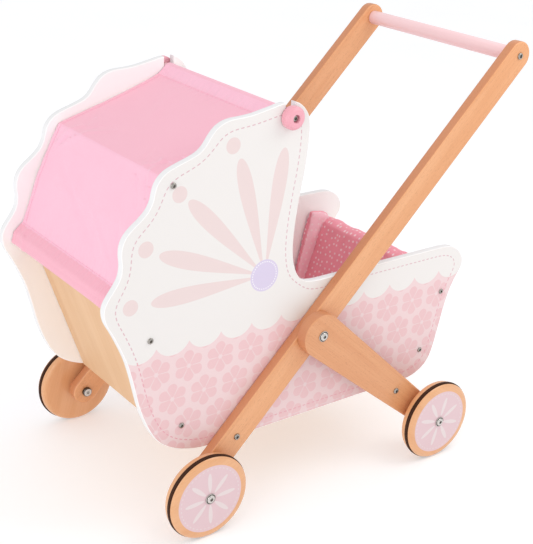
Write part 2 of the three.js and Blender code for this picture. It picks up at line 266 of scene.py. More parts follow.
class Shade(Tree):
    """The shader of one finish."""

    def __init__(self, name: str) -> None:
        """Makes a material with one Principled shader.

        Args:
            name: the material's name.
        """
        self.material = bpy.data.materials.new(name)
        self.material.use_nodes = True
        super().__init__(self.material.node_tree)
        self.surface = self.add("ShaderNodeBsdfPrincipled")
        self.add("ShaderNodeOutputMaterial", inputs={"Surface": self.surface.outputs[0]})

    def set(self, **values: Any) -> None:
        """Sets or links sockets of the Principled shader, with _ for a space in a name."""
        for key, value in values.items():
            self.feed(self.surface.inputs[key.replace("_", " ")], value)

    def split(self, vector: bpy.types.NodeSocket, scale: float = 1.0) -> tuple[Sock, Sock, Sock]:
        """Splits a vector into numbers.

        Args:
            vector: the vector.
            scale: what each number is multiplied by.

        Returns:
            The three numbers.
        """
        node = self.add("ShaderNodeSeparateXYZ", inputs={0: vector})
        first, second, third = (Sock(self, o) * scale for o in node.outputs)
        return first, second, third

    def place(self) -> tuple[Sock, Sock, Sock]:
        """The point on the pram, in millimetres from the datum."""
        node = self.add("ShaderNodeTexCoord")
        x, y, z = self.split(node.outputs["Object"], 1 / MM)
        return x - DATUM[0], y, z - DATUM[2]

    def object_vector(self) -> bpy.types.NodeSocket:
        """The point on the pram, in metres."""
        return self.add("ShaderNodeTexCoord").outputs["Object"]

    def attribute(self, name: str) -> bpy.types.NodeSocket:
        """A vector kept on the mesh."""
        return self.add("ShaderNodeAttribute", {"attribute_name": name}).outputs["Vector"]

    def parts_of(self, name: str) -> tuple[Sock, Sock, Sock]:
        """The three numbers of a vector kept on the mesh."""
        return self.split(self.attribute(name))

    def scaled(self, vector: bpy.types.NodeSocket, scale: Sequence[float]) -> bpy.types.NodeSocket:
        """Stretches a vector.

        Args:
            vector: the vector.
            scale: the factor along each axis.

        Returns:
            The stretched vector.
        """
        node = self.add("ShaderNodeVectorMath", {"operation": "MULTIPLY"}, {0: vector, 1: scale})
        return node.outputs[0]

    def clouds(
        self, vector: bpy.types.NodeSocket, scale: float, detail: float = 2.0, distortion: float = 0.0
    ) -> Sock:
        """Soft noise between 0 and 1.

        Args:
            vector: where it is read.
            scale: how many blots to one unit of the vector.
            detail: how many finer layers it has.
            distortion: how much it is stirred.

        Returns:
            The noise.
        """
        inputs = {"Vector": vector, "Scale": scale, "Detail": detail, "Distortion": distortion}
        return Sock(self, self.add("ShaderNodeTexNoise", inputs=inputs).outputs[0])

    def spots(self, vector: bpy.types.NodeSocket, scale: float, stray: float) -> Sock:
        """Distance to the nearest spot of a scattered pattern.

        Args:
            vector: where it is read, in two dimensions.
            scale: how many spots to one unit.
            stray: how far spots leave the even grid, from 0 to 1.

        Returns:
            The distance, in grid steps.
        """
        node = self.add(
            "ShaderNodeTexVoronoi",
            {"voronoi_dimensions": "2D", "feature": "F1"},
            {"Vector": vector, "Scale": scale, "Randomness": stray},
        )
        return Sock(self, node.outputs["Distance"])

    def step(self, value: Sock, low: float, high: float) -> Sock:
        """Rises smoothly from 0 at low to 1 at high.

        Args:
            value: the number.
            low: where the result is 0.
            high: where the result is 1; below low for a fall.

        Returns:
            The stepped number.
        """
        inputs = {"Value": value, "From Min": low, "From Max": high}
        node = self.add("ShaderNodeMapRange", {"interpolation_type": "SMOOTHSTEP"}, inputs)
        return Sock(self, node.outputs[0])

    def mix(self, share: Any, first: Any, second: Any) -> bpy.types.NodeSocket:
        """Mixes two colours.

        Args:
            share: how much of the second.
            first: a colour code or a socket.
            second: a colour code or a socket.

        Returns:
            The mixed colour.
        """
        first, second = (colour(c) if isinstance(c, str) else c for c in (first, second))
        node = self.add("ShaderNodeMix", {"data_type": "RGBA"}, {0: share, 6: first, 7: second})
        return node.outputs[2]

    def bump(self, height: Sock, distance: float, strength: float = 1.0) -> None:
        """Gives the surface relief.

        Args:
            height: the relief, about 0 to 1.
            distance: its depth in metres.
            strength: how much of it shows.
        """
        inputs = {"Height": height, "Distance": distance, "Strength": strength}
        self.set(Normal=self.add("ShaderNodeBump", inputs=inputs).outputs[0])

    def club(self, along: Sock, across: Sock, start: float, end: float, radii: tuple[float, float]) -> Sock:
        """Distance to a stroke with round ends of two radii.

        Args:
            along: position along the stroke.
            across: position across it.
            start: centre of the near end.
            end: centre of the far end.
            radii: radius at the near and at the far end.

        Returns:
            The distance, negative inside.
        """
        share = ((along - start) / (end - start)).most(0.0).least(1.0)
        away = along - start - share * (end - start)
        return (across * across + away * away).root() - radii[0] - share * (radii[1] - radii[0])

    def leaf(self, along: Sock, across: Sock, length: float, half: float, lean: float) -> Sock:
        """Distance to a leaf shape that starts at the origin.

        Args:
            along: position along the leaf.
            across: position across it.
            length: its length.
            half: half its greatest width.
            lean: 1 for widest in the middle, more for nearer the far end.

        Returns:
            About the distance, negative inside.
        """
        share = (along / length).most(0.0).least(1.0) ** lean
        past = (abs(along - length / 2) - length / 2).most(0.0)
        return abs(across) + past - (share * (1 - share)).root() * (2 * half)


class Recipe(Tree):
    """A Geometry Nodes tree with named inputs, run once on a carrier object."""

    def __init__(self, name: str) -> None:
        """Makes the tree with its geometry input and output.

        Args:
            name: the tree's name.
        """
        super().__init__(bpy.data.node_groups.new(name, "GeometryNodeTree"))
        self.keys: dict[str, str] = {}
        for way in ("INPUT", "OUTPUT"):
            self.tree.interface.new_socket("Geometry", in_out=way, socket_type="NodeSocketGeometry")
        self.source = self.add("NodeGroupInput")

    def ask(self, label: str, kind: str) -> bpy.types.NodeSocket:
        """Adds a named input.

        Args:
            label: the input's name.
            kind: its kind, such as Float.

        Returns:
            The socket that gives its value inside the tree.
        """
        item = self.tree.interface.new_socket(label, in_out="INPUT", socket_type=f"NodeSocket{kind}")
        self.keys[label] = item.identifier
        return self.source.outputs[label]

    def close(self, geometry: bpy.types.NodeSocket, finish: bpy.types.NodeSocket) -> None:
        """Ends the tree with real meshes in one finish.

        Args:
            geometry: the instances.
            finish: the material's socket.
        """
        real = self.add("GeometryNodeRealizeInstances", inputs={0: geometry})
        dressed = self.add(
            "GeometryNodeSetMaterial", inputs={"Geometry": real.outputs[0], "Material": finish}
        )
        self.add("NodeGroupOutput", inputs={0: dressed.outputs[0]})

    def run(self, carrier: bpy.types.Object, values: dict[str, Any]) -> bpy.types.Object:
        """Runs the tree and turns the carrier into the plain result.

        Args:
            carrier: the object whose mesh goes in.
            values: what each named input is.

        Returns:
            The carrier, with the result as its mesh.
        """
        modifier = carrier.modifiers.new(self.tree.name, "NODES")
        modifier.node_group = self.tree
        for label, value in values.items():
            modifier[self.keys[label]] = value
        carrier.data = settled(carrier)
        carrier.modifiers.remove(modifier)
        return carrier


class ScrewRecipe(Recipe):
    """Sets a copy of a screw on each point, its head facing as the point says."""

    def __init__(self) -> None:
        """Builds the tree."""
        super().__init__("screws_on_points")
        screw = self.ask("Screw", "Object")
        size = self.ask("Size", "Float")
        finish = self.ask("Finish", "Material")
        facing = self.add(
            "GeometryNodeInputNamedAttribute", {"data_type": "FLOAT_VECTOR"}, {"Name": "facing"}
        )
        turn = self.add(
            "FunctionNodeAlignRotationToVector",
            {"axis": "Y", "pivot_axis": "Z"},
            {"Vector": facing.outputs[0]},
        )
        info = self.add("GeometryNodeObjectInfo", inputs={"Object": screw, "As Instance": True})
        placed = self.add(
            "GeometryNodeInstanceOnPoints",
            inputs={
                "Points": self.source.outputs[0],
                "Instance": info.outputs["Geometry"],
                "Rotation": turn.outputs[0],
                "Scale": size,
            },
        )
        self.close(placed.outputs[0], finish)


class StitchRecipe(Recipe):
    """Lays a copy of a stitch at even steps along a line."""

    def __init__(self, name: str, pivot: str) -> None:
        """Builds the tree.

        Args:
            name: the tree's name.
            pivot: the axis that a stitch turns about, or AUTO.
        """
        super().__init__(name)
        stitch = self.ask("Stitch", "Object")
        pitch = self.ask("Pitch", "Float")
        finish = self.ask("Finish", "Material")
        line = self.add("GeometryNodeMeshToCurve", inputs={0: self.source.outputs[0]})
        even = self.add(
            "GeometryNodeResampleCurve", {"mode": "LENGTH"}, {"Curve": line.outputs[0], "Length": pitch}
        )
        tangent = self.add("GeometryNodeInputTangent")
        turn = self.add(
            "FunctionNodeAlignRotationToVector",
            {"axis": "X", "pivot_axis": pivot},
            {"Vector": tangent.outputs[0]},
        )
        info = self.add("GeometryNodeObjectInfo", inputs={"Object": stitch, "As Instance": True})
        laid = self.add(
            "GeometryNodeInstanceOnPoints",
            inputs={
                "Points": even.outputs[0],
                "Instance": info.outputs["Geometry"],
                "Rotation": turn.outputs[0],
            },
        )
        self.close(laid.outputs[0], finish)


# ------------------------------------------------------------------ finishes


@dataclass(frozen=True)
class Finish:
    """A finish and the record's material slot that it belongs to."""

    name: str
    slot: str

    def build(self, shade: Shade) -> None:
        """Fills the shader; each finish has its own."""
        raise NotImplementedError

    def material(self) -> bpy.types.Material:
        """The finish's material, made the first time it is asked for."""
        made = bpy.data.materials.get(self.name)
        if made is None:
            shade = Shade(self.name)
            self.build(shade)
            made = shade.material
        return made


@dataclass(frozen=True)
class Timber(Finish):
    """Clear lacquered wood whose grain follows the mesh's grain vector, with optional painted shade on the
    faces that don't face along y (a plank's edges).
    """

    pale: str = "#E9AC7C"
    deep: str = "#DD9A67"
    fleck: str = "#A96A3C"
    fleck_share: float = 0.42
    roughness: float = 0.42
    # The colour of the painted shade on a plank's edges; the share below sets how much of it shows.
    edge: str = "#C68058"
    edge_share: float = 0.0

    def wood(self, shade: Shade) -> tuple[bpy.types.NodeSocket, Sock]:
        """Colours the wood.

        Args:
            shade: the shader.

        Returns:
            The wood's colour, and its relief.
        """
        grain = shade.attribute("grain")
        bands = shade.clouds(shade.scaled(grain, (4, 45, 45)), 1.0, 3.0, 0.6)
        lines = shade.clouds(shade.scaled(grain, (18, 900, 900)), 1.0, 2.0)
        rays = shade.clouds(shade.scaled(grain, (300, 1700, 1700)), 1.0, 1.0)
        ray = shade.step(rays, 0.62, 0.72)
        tone = shade.step(bands * 0.6 + lines * 0.4, 0.28, 0.72)
        body = shade.mix(tone, self.pale, self.deep)
        # Painted shade: faces that don't face along y, the edges of bars and legs, are darkened towards the
        # edge colour.
        if self.edge_share:
            sideways = abs(shade.parts_of("face_normal")[1])
            body = shade.mix(shade.step(sideways, 0.75, 0.35) * self.edge_share, body, self.edge)
        return shade.mix(ray * self.fleck_share, body, self.fleck), lines * 0.5 - ray

    def build(self, shade: Shade) -> None:
        """Lacquered wood with shallow pores."""
        paint, relief = self.wood(shade)
        worn = shade.clouds(shade.object_vector(), 60.0, 2.0)
        shade.set(Base_Color=paint, Roughness=self.roughness - 0.06 + worn * 0.12)
        shade.set(Coat_Weight=0.25, Coat_Roughness=0.2)
        shade.bump(relief, 0.0001, 0.35)


@dataclass(frozen=True)
class WheelTimber(Timber):
    """Beech with a printed disc on the wheel's outer face."""

    disc: str = "#DEC1C5"
    spoke: str = "#E1D2D2"
    disc_clouded: str = "#DCBBC1"
    disc_radius: float = 42.0
    ring_radius: float = 38.6
    spokes: int = 8
    spoke_length: float = 25.4
    spoke_half: float = 2.7
    dashes: int = 44

    def build(self, shade: Shade) -> None:
        """Lacquered beech under a pink disc with pale spokes and a dashed ring."""
        paint, relief = self.wood(shade)
        across, up, depth = shade.parts_of("disc")
        radius = (across * across + up * up).root()
        turn = up.angle_to(across) * (1 / FULL_TURN) + 1.0
        sector = ((turn * self.spokes + 0.5).fraction() - 0.5) * (FULL_TURN / self.spokes)
        along, aside = radius * sector.cosine() - 8.0, radius * sector.sine()
        spoke = shade.leaf(along, aside, self.spoke_length, self.spoke_half, 1.2)
        dash = abs((turn * self.dashes).fraction() - 0.5) - 0.22
        ring = abs(radius - self.ring_radius) - 0.55
        marks = shade.step(spoke, 0.25, -0.25).most(
            shade.step(dash, 0.04, -0.04) * shade.step(ring, 0.2, -0.2) * 0.9
        )
        print_mask = shade.step(radius, self.disc_radius + 0.15, self.disc_radius - 0.15) * (depth < 0.05)
        tint = shade.clouds(shade.object_vector(), 90.0, 2.0)
        ink = shade.mix(marks, shade.mix(tint * 0.5, self.disc, self.disc_clouded), self.spoke)
        shade.set(Base_Color=shade.mix(print_mask, paint, ink))
        shade.set(Roughness=self.roughness + print_mask * 0.12 + tint * 0.06)
        shade.set(Coat_Weight=0.5, Coat_Roughness=0.14)
        shade.bump(relief * (1 - print_mask) + print_mask * 0.6, 0.0001, 0.3)


@dataclass(frozen=True)
class Plywood(Timber):
    """Birch plywood: quiet veneer on the faces, plies along the edges."""

    pale: str = "#E6BE96"
    deep: str = "#DFB489"
    fleck: str = "#CC9E6E"
    fleck_share: float = 0.2
    dark_ply: str = "#A9774A"
    plies: float = 5.0
    thickness: float = 9.0

    def build(self, shade: Shade) -> None:
        """Veneer, with light and dark plies where the ply vector says."""
        paint, relief = self.wood(shade)
        depth, edge, _ = shade.parts_of("ply")
        layer = (depth * (self.plies / self.thickness * 0.5)).fraction()
        dark = shade.step(abs(layer - 0.5), 0.22, 0.28) * (edge > 0.5)
        worn = shade.clouds(shade.object_vector(), 45.0, 2.0)
        shade.set(Base_Color=shade.mix(dark * 0.75, paint, self.dark_ply))
        shade.set(Roughness=0.5 + worn * 0.12)
        shade.bump(relief - dark * 0.6, 0.0001, 0.4)


@dataclass(frozen=True)
class PramPrint(Finish):
    """White lacquer with the petal, scallop and flower print on the outer face."""

    face_y: float = 126.0
    white: str = "#FCFAF8"
    # rim: the greyer white of the painted shade on the panels' edges.
    rim: str = "#E9E9EA"
    face: str = "#E9E5E2"
    petal: str = "#E6D3D1"
    ground: tuple[str, str] = ("#E9C4C6", "#E6BEC1")
    flower: str = "#EAD0D1"
    flower_heart: str = "#EAD3D5"
    hub_lilac: str = "#D6CBE3"
    hub_dash: str = "#F1EEF3"
    hub: tuple[float, float] = (95.0, 286.6)
    hub_radius: float = 19.0
    hub_ring: float = 16.3
    hub_dashes: float = 34.0
    dot_radius: float = 9.0
    petal_length: float = 146.0
    petal_half: float = 9.6
    petal_angles: tuple[float, ...] = (82.0, 105.2, 133.8, 159.0, 180.0)
    dots: tuple[tuple[float, float], ...] = (
        (47.4, 442.9),
        (-17.4, 400.8),
        (-57.3, 348.4),
        (-75.6, 287.5),
    )
    lobe_pitch: float = 41.53
    lobe_start: float = -44.4
    lobe_top: float = 232.0
    lobe_bottom: float = 219.3
    flower_row: float = 35.6
    flower_top: float = 201.0

    def petals(self, shade: Shade, x: Sock, z: Sock) -> Sock:
        """Where the petals and their dots are.

        Args:
            shade: the shader.
            x: position along the pram.
            z: height.

        Returns:
            1 on a petal or dot.
        """
        dx, dz = x - self.hub[0], z - self.hub[1]
        nearest: Sock | None = None
        for degrees in self.petal_angles:
            c, s = math.cos(math.radians(degrees)), math.sin(math.radians(degrees))
            along, across = dx * c + dz * s, dz * c - dx * s
            shape = shade.leaf(along, across, self.petal_length, self.petal_half, 2.4)
            nearest = shape if nearest is None else nearest.least(shape)
        for px, pz in self.dots:
            ax, az = x - px, z - pz
            nearest = nearest.least((ax * ax + az * az).root() - self.dot_radius)
        return shade.step(nearest, 0.25, -0.25)

    def scallop(self, x: Sock, z: Sock) -> Sock:
        """Height above the scalloped border, negative in the flower field.

        Args:
            x: position along the pram.
            z: height.

        Returns:
            The height in millimetres.
        """
        rise = self.lobe_top - self.lobe_bottom
        radius = self.lobe_pitch**2 / (8 * rise) + rise / 2
        part = (((x - self.lobe_start) / self.lobe_pitch + 100.0).fraction() - 0.5) * self.lobe_pitch
        return z - (self.lobe_bottom + radius) + (radius**2 - part * part).root()

    def _blossom(self, shade: Shade, x: Sock, z: Sock, shift: float, rows: float) -> tuple[Sock, Sock]:
        """Distance to the petals and to the heart of one set of flowers.

        Args:
            shade: the shader.
            x: position along the pram.
            z: height.
            shift: share of a pitch that the set is moved along x.
            rows: how many rows lower the set starts.

        Returns:
            The distance to a petal, and to a flower's middle.
        """
        step = 2 * self.flower_row
        u = (((x - self.lobe_start) / self.lobe_pitch + 100.5 + shift).fraction() - 0.5) * self.lobe_pitch
        v = (((z - self.flower_top + rows * self.flower_row) / step + 20.5).fraction() - 0.5) * step
        radius = (u * u + v * v).root()
        sixth = FULL_TURN / 6
        # A petal points straight up, so the sector's middle is at a quarter turn.
        turn = ((v.angle_to(u) + 2 * FULL_TURN) / sixth + 1.0).fraction() - 0.5
        turn = turn * sixth
        petal = shade.club(radius * turn.cosine(), radius * turn.sine(), 5.0, 12.4, (2.35, 6.4))
        return petal, radius

    def flowers(self, shade: Shade, x: Sock, z: Sock) -> tuple[Sock, Sock]:
        """The flower field.

        Args:
            shade: the shader.
            x: position along the pram.
            z: height.

        Returns:
            1 on a petal, and 1 on a flower's heart.
        """
        even, heart_even = self._blossom(shade, x, z, 0.0, 0.0)
        odd, heart_odd = self._blossom(shade, x, z, 0.5, 1.0)
        petal = shade.step(even.least(odd), 0.35, -0.35)
        heart = shade.step(heart_even.least(heart_odd), 2.0, 1.3)
        return petal, heart

    def build(self, shade: Shade) -> None:
        """White lacquer, printed on the outer face only, with painted shade on the edges."""
        x, y, z = shade.place()
        mottle = shade.clouds(shade.object_vector(), 38.0, 3.0)
        petal, heart = self.flowers(shade, x, z)
        field_colour = shade.mix(petal, self.flower, shade.mix(mottle, *self.ground))
        field_colour = shade.mix(heart, field_colour, self.flower_heart)
        lower = shade.step(self.scallop(x, z), 0.2, -0.2)
        dx, dz = x - self.hub[0], z - self.hub[1]
        reach = (dx * dx + dz * dz).root()
        turn = dz.angle_to(dx) * (1 / FULL_TURN) + 1.0
        dash = shade.step(abs((turn * self.hub_dashes).fraction() - 0.5), 0.3, 0.24)
        ring = dash * shade.step(abs(reach - self.hub_ring), 0.75, 0.45)
        upper = shade.mix(self.petals(shade, x, z), self.face, self.petal)
        disc = shade.mix(ring, self.hub_lilac, self.hub_dash)
        upper = shade.mix(shade.step(reach, self.hub_radius + 0.25, self.hub_radius - 0.25), upper, disc)
        print_mask = abs(y) > self.face_y - 0.12
        ink = shade.mix(lower, upper, field_colour)
        # Painted shade: faces that don't face along y, the panels' edges, take the greyer rim colour
        # instead of the white.
        rim = shade.step(abs(shade.parts_of("face_normal")[1]), 0.85, 0.45)
        shade.set(Base_Color=shade.mix(print_mask, shade.mix(rim, self.white, self.rim), ink))
        shade.set(Roughness=0.36 + mottle * 0.12, Coat_Weight=0.15, Coat_Roughness=0.25)
        peel = shade.clouds(shade.object_vector(), 700.0, 1.0)
        shade.bump(peel * 0.35 + mottle * 0.4 + lower * print_mask * 0.4, 0.0001, 0.25)


@dataclass(frozen=True)
class StitchInk(Finish):
    """The printed dashes, paler on the white part."""

    border: float = 225.0
    upper: str = "#D6B1B9"
    lower: str = "#E19CA9"
    worn: str = "#E6C9CC"

    def build(self, shade: Shade) -> None:
        """Satin ink whose colour follows the height."""
        _, _, z = shade.place()
        worn = shade.clouds(shade.object_vector(), 300.0, 2.0)
        low = shade.step(z, self.border + 2, self.border - 2)
        tone = shade.mix(low, self.upper, self.lower)
        shade.set(Base_Color=shade.mix(worn * 0.3, tone, self.worn), Roughness=0.45)


@dataclass(frozen=True)
class Lacquer(Finish):
    """Coloured lacquer on turned wood."""

    pale: str = "#F6D3D5"
    deep: str = "#F0C8CC"
    roughness: float = 0.38

    def build(self, shade: Shade) -> None:
        """Satin lacquer with a hint of the wood under it."""
        grain = shade.attribute("grain")
        tone = shade.clouds(shade.scaled(grain, (12, 260, 260)), 1.0, 3.0)
        peel = shade.clouds(shade.object_vector(), 600.0, 1.0)
        shade.set(Base_Color=shade.mix(tone, self.pale, self.deep))
        shade.set(Roughness=self.roughness + tone * 0.1, Coat_Weight=0.3, Coat_Roughness=0.18)
        shade.bump(peel * 0.5 + tone * 0.5, 0.0001, 0.3)


@dataclass(frozen=True)
class Nickel(Finish):
    """Nickel plated steel, turned."""

    bright: str = "#BFBBB5"
    dull: str = "#86817B"

    def build(self, shade: Shade) -> None:
        """Bright metal with faint smears."""
        smear = shade.clouds(shade.object_vector(), 900.0, 3.0)
        shade.set(Base_Color=shade.mix(smear, self.bright, self.dull), Metallic=1.0)
        shade.set(Roughness=0.16 + smear * 0.16)
        shade.bump(smear, 0.00003, 0.3)


@dataclass(frozen=True)
class BoltNickel(Nickel):
    """Polished nickel with a painted shadow ring round the head and painted shade in the socket, by the
    mesh's bolt vector.
    """

    # Inner and outer radius in mm of the painted shadow ring round the head, then the shadow's colour.
    washer: tuple[float, float] = (4.95, 6.2)
    shadow: str = "#3C3835"

    def build(self, shade: Shade) -> None:
        """Bright domed head inside a ring of painted shadow, with painted shade in its socket."""
        super().build(shade)
        across, up, _ = shade.parts_of("bolt")
        radius = (across * across + up * up).root()
        low, high = self.washer
        # Painted shadow: a dark ring round the head, and painted shade half darkening the hex socket.
        ring = shade.step(abs(radius - (low + high) / 2), (high - low) / 2, (high - low) / 2 - 0.2)
        socket = shade.step(radius, 2.3, 2.0)
        smear = shade.clouds(shade.object_vector(), 900.0, 3.0)
        metal = shade.mix(smear, self.bright, self.dull)
        shade.set(Base_Color=shade.mix((ring * 0.85).most(socket * 0.5), metal, self.shadow))


@dataclass(frozen=True)
class Rubber(Finish):
    """Dark rubber with a dusty surface."""

    dark: str = "#30180C"
    dusty: str = "#472816"

    def build(self, shade: Shade) -> None:
        """Matt rubber."""
        dust = shade.clouds(shade.object_vector(), 240.0, 4.0)
        shade.set(Base_Color=shade.mix(dust, self.dark, self.dusty), Roughness=0.6 + dust * 0.2)
        shade.set(Specular_IOR_Level=0.25)
        shade.bump(dust, 0.0002, 0.4)


@dataclass(frozen=True)
class Cotton(Finish):
    """Plain woven cotton, on the mesh's cloth vector in metres."""

    pale: str = "#F9C7D9"
    deep: str = "#F3B5CB"
    thread: float = 0.55
    shaded: str = "#F0ACBC"
    hem_top: float = 302.5

    def weave(self, shade: Shade) -> tuple[bpy.types.NodeSocket, Sock, Sock]:
        """The cloth's ground.

        Args:
            shade: the shader.

        Returns:
            The ground colour, the weave's relief, and slow blots.
        """
        flat = shade.attribute("cloth")
        across, along, _ = shade.parts_of("cloth")
        pace = FULL_TURN / (self.thread * MM)
        ply = (across * pace).sine() * (along * pace).sine()
        slub = shade.clouds(shade.scaled(flat, (900, 140, 1)), 1.0, 2.0)
        slub = slub * 0.5 + shade.clouds(shade.scaled(flat, (140, 900, 1)), 1.0, 2.0) * 0.5
        blots = shade.clouds(flat, 22.0, 3.0)
        ground = shade.mix(slub * 0.6 + blots * 0.4, self.pale, self.deep)
        return ground, ply * 0.5 + slub, blots

    def build(self, shade: Shade) -> None:
        """Soft cotton with a little sheen."""
        ground, relief, blots = self.weave(shade)
        upward = shade.step(shade.parts_of("face_normal")[2], 0.72, 0.93)
        _, _, z = shade.place()
        hem = shade.step(z, self.hem_top + 0.6, self.hem_top - 0.6)
        shade.set(Base_Color=shade.mix((upward * 0.55).most(hem * 0.8), ground, self.shaded))
        shade.set(Roughness=0.8 + blots * 0.12, Sheen_Weight=0.25, Sheen_Roughness=0.5)
        shade.bump(relief, 0.00015, 0.35)


@dataclass(frozen=True)
class DottedCotton(Cotton):
    """Cotton printed with small scattered dots."""

    pale: str = "#FBA6B6"
    deep: str = "#F497A9"
    dot: str = "#FFE0E5"
    lit: str = "#FFCFDA"
    dot_radius: float = 1.6
    spacing: float = 8.6

    def build(self, shade: Shade) -> None:
        """Soft cotton with printed dots."""
        ground, relief, blots = self.weave(shade)
        away = shade.spots(shade.attribute("cloth"), 1 / (self.spacing * MM), 0.5) * self.spacing
        dot = shade.step(away, self.dot_radius + 0.22, self.dot_radius - 0.22)
        sideways = shade.step(abs(shade.parts_of("face_normal")[1]), 0.5, 0.85)
        ground = shade.mix(sideways, ground, self.lit)
        shade.set(Base_Color=shade.mix(dot * 0.92, ground, self.dot), Roughness=0.82 + blots * 0.1)
        shade.set(Sheen_Weight=0.2, Sheen_Roughness=0.5)
        shade.bump(relief, 0.00015, 0.35)


@dataclass(frozen=True)
class StudioPaper(Finish):
    """The pale floor."""

    pale: str = "#E1E2E5"
    deep: str = "#DDDEE1"
    glow: float = 0.34

    def build(self, shade: Shade) -> None:
        """Near white, quite matt."""
        tone = shade.clouds(shade.object_vector(), 3.0, 1.0)
        shade.set(Base_Color=shade.mix(tone, self.pale, self.deep), Roughness=0.9)
        shade.set(Emission_Color=(1.0, 1.0, 1.0, 1.0), Emission_Strength=self.glow)


BEECH = Timber("clear_beech", "beech")
# The bars and legs carry painted shade on their edges.
PLANK_BEECH = Timber("plank_beech", "beech", edge_share=0.8)
LEG_BEECH = Timber("leg_beech", "beech", "#DFA071", "#D38E5E", edge_share=0.7)
WHEEL_BEECH = WheelTimber("wheel_beech", "beech", "#E8B081", "#DEA06D", fleck_share=0.12, roughness=0.3)
PLYWOOD = Plywood("clear_plywood", "plywood")
PRINTED_WHITE = PramPrint("printed_white_lacquer", "white_lacquer")
STITCH_INK = StitchInk("stitch_ink", "white_lacquer")
KNOB_PINK = Lacquer("knob_pink_lacquer", "pink_lacquer", "#F0AEBA", "#E99FAE")
ROD_PINK = Lacquer("rod_pink_lacquer", "pink_lacquer")
NICKEL = Nickel("turned_nickel", "nickel")
BOLT_NICKEL = BoltNickel("polished_nickel", "nickel", "#E2E0DC", "#B9B5AF")
RUBBER = Rubber("dark_rubber", "rubber_ring")
PINK_COTTON = Cotton("plain_pink_cotton", "pink_cotton")
THREAD = Cotton("pink_thread", "pink_cotton", "#F6B6CB", "#EFA8BF")
DOTTED_COTTON = DottedCotton("dotted_pink_cotton", "dotted_cotton")
PAPER = StudioPaper("studio_paper", "white_lacquer")


# ------------------------------------------------------------------ bench tools


def metres(points: np.ndarray) -> np.ndarray:
    """Turns millimetres from the datum into metres in the CAD frame."""
    return (np.asarray(points, float) + DATUM) * MM


def settled(thing: bpy.types.Object) -> bpy.types.Mesh:
    """The mesh of an object with its modifiers worked out."""
    graph = bpy.context.evaluated_depsgraph_get()
    return bpy.data.meshes.new_from_object(thing.evaluated_get(graph))


def on_bench(name: str, mesh: bpy.types.ID) -> bpy.types.Object:
    """Puts a mesh or curve into the scene as an object."""
    thing = bpy.data.objects.new(name, mesh)
    bpy.context.scene.collection.objects.link(thing)
    return thing


def clean(mesh: bpy.types.Mesh) -> None:
    """Merges doubled points and turns every face outwards."""
    work = bmesh.new()
    work.from_mesh(mesh)
    bmesh.ops.remove_doubles(work, verts=work.verts, dist=2e-6)
    bmesh.ops.recalc_face_normals(work, faces=work.faces)
    work.to_mesh(mesh)
    work.free()


def settle(thing: bpy.types.Object) -> None:
    """Works a piece's modifiers into its mesh."""
    thing.data = settled(thing)
    thing.modifiers.clear()


def vectors_of(items: bpy.types.bpy_prop_collection, name: str) -> np.ndarray:
    """Reads one vector from each point or face of a mesh.

    Args:
        items: the points or the faces.
        name: the vector's name.

    Returns:
        The vectors, one a row.
    """
    flat = np.empty(len(items) * 3, np.float32)
    items.foreach_get(name, flat)
    return flat.reshape(-1, 3)


def points_of(mesh: bpy.types.Mesh) -> np.ndarray:
    """The mesh's points in millimetres from the datum."""
    return vectors_of(mesh.vertices, "co").astype(float) / MM - DATUM


def move_points(mesh: bpy.types.Mesh, points: np.ndarray) -> None:
    """Gives the mesh new points, in millimetres from the datum."""
    mesh.vertices.foreach_set("co", metres(points).astype(np.float32).ravel())
    mesh.update()


def mesh_piece(name: str, points: np.ndarray, faces: Faces, tidy: bool = True) -> bpy.types.Object:
    """Makes an object from points and faces.

    Args:
        name: the piece's name.
        points: its points in millimetres from the datum.
        faces: the point numbers of each face.
        tidy: whether doubles are merged and faces turned outwards.

    Returns:
        The object.
    """
    mesh = bpy.data.meshes.new(name)
    mesh.from_pydata(metres(points).tolist(), [], faces)
    if tidy:
        clean(mesh)
    return on_bench(name, mesh)


def smooth(thing: bpy.types.Object, degrees: float = 35.0, flat_y: bool = False) -> bpy.types.Object:
    """Shades a piece smooth between its sharp edges.

    Args:
        thing: the piece.
        degrees: the angle from which an edge stays sharp.
        flat_y: whether faces square to y stay flat.

    Returns:
        The piece.
    """
    mesh = thing.data
    mesh.shade_smooth()
    mesh.set_sharp_from_angle(angle=math.radians(degrees))
    if flat_y:
        for face in mesh.polygons:
            face.use_smooth = abs(face.normal.y) < 0.9999
    return thing


def keep_vector(thing: bpy.types.Object, name: str, values: np.ndarray, on: str = "POINT") -> None:
    """Keeps a vector on each point of a mesh, or on each of its faces."""
    layer = thing.data.attributes.new(name, "FLOAT_VECTOR", on)
    layer.data.foreach_set("vector", values.astype(np.float32).ravel())


def set_grain(thing: bpy.types.Object, degrees: float, start: float = 0.0, across: bool = False) -> None:
    """Lays the wood's grain.

    Args:
        thing: the piece.
        degrees: the grain's slope in the x-z plane.
        start: where in the plank the piece was cut, in metres.
        across: whether the grain runs along y instead.
    """
    p = points_of(thing.data) * MM
    c, s = math.cos(math.radians(degrees)), math.sin(math.radians(degrees))
    along, aside = p[:, 0] * c + p[:, 2] * s, p[:, 2] * c - p[:, 0] * s
    columns = (p[:, 1], along, aside) if across else (along, aside, p[:, 1])
    keep_vector(thing, "grain", np.column_stack(columns) + (start, start * 3.1, start * 1.7))


def keep_face_normals(thing: bpy.types.Object) -> None:
    """Keeps each face's own direction on the mesh, as its face_normal vector."""
    keep_vector(thing, "face_normal", vectors_of(thing.data.polygons, "normal"), "FACE")


def set_bolt(thing: bpy.types.Object, centre: Sequence[float]) -> None:
    """Keeps each point's place round a bolt's axis, in millimetres."""
    p = points_of(thing.data)
    keep_vector(thing, "bolt", np.column_stack([p[:, 0] - centre[0], p[:, 2] - centre[1], p[:, 1]]))


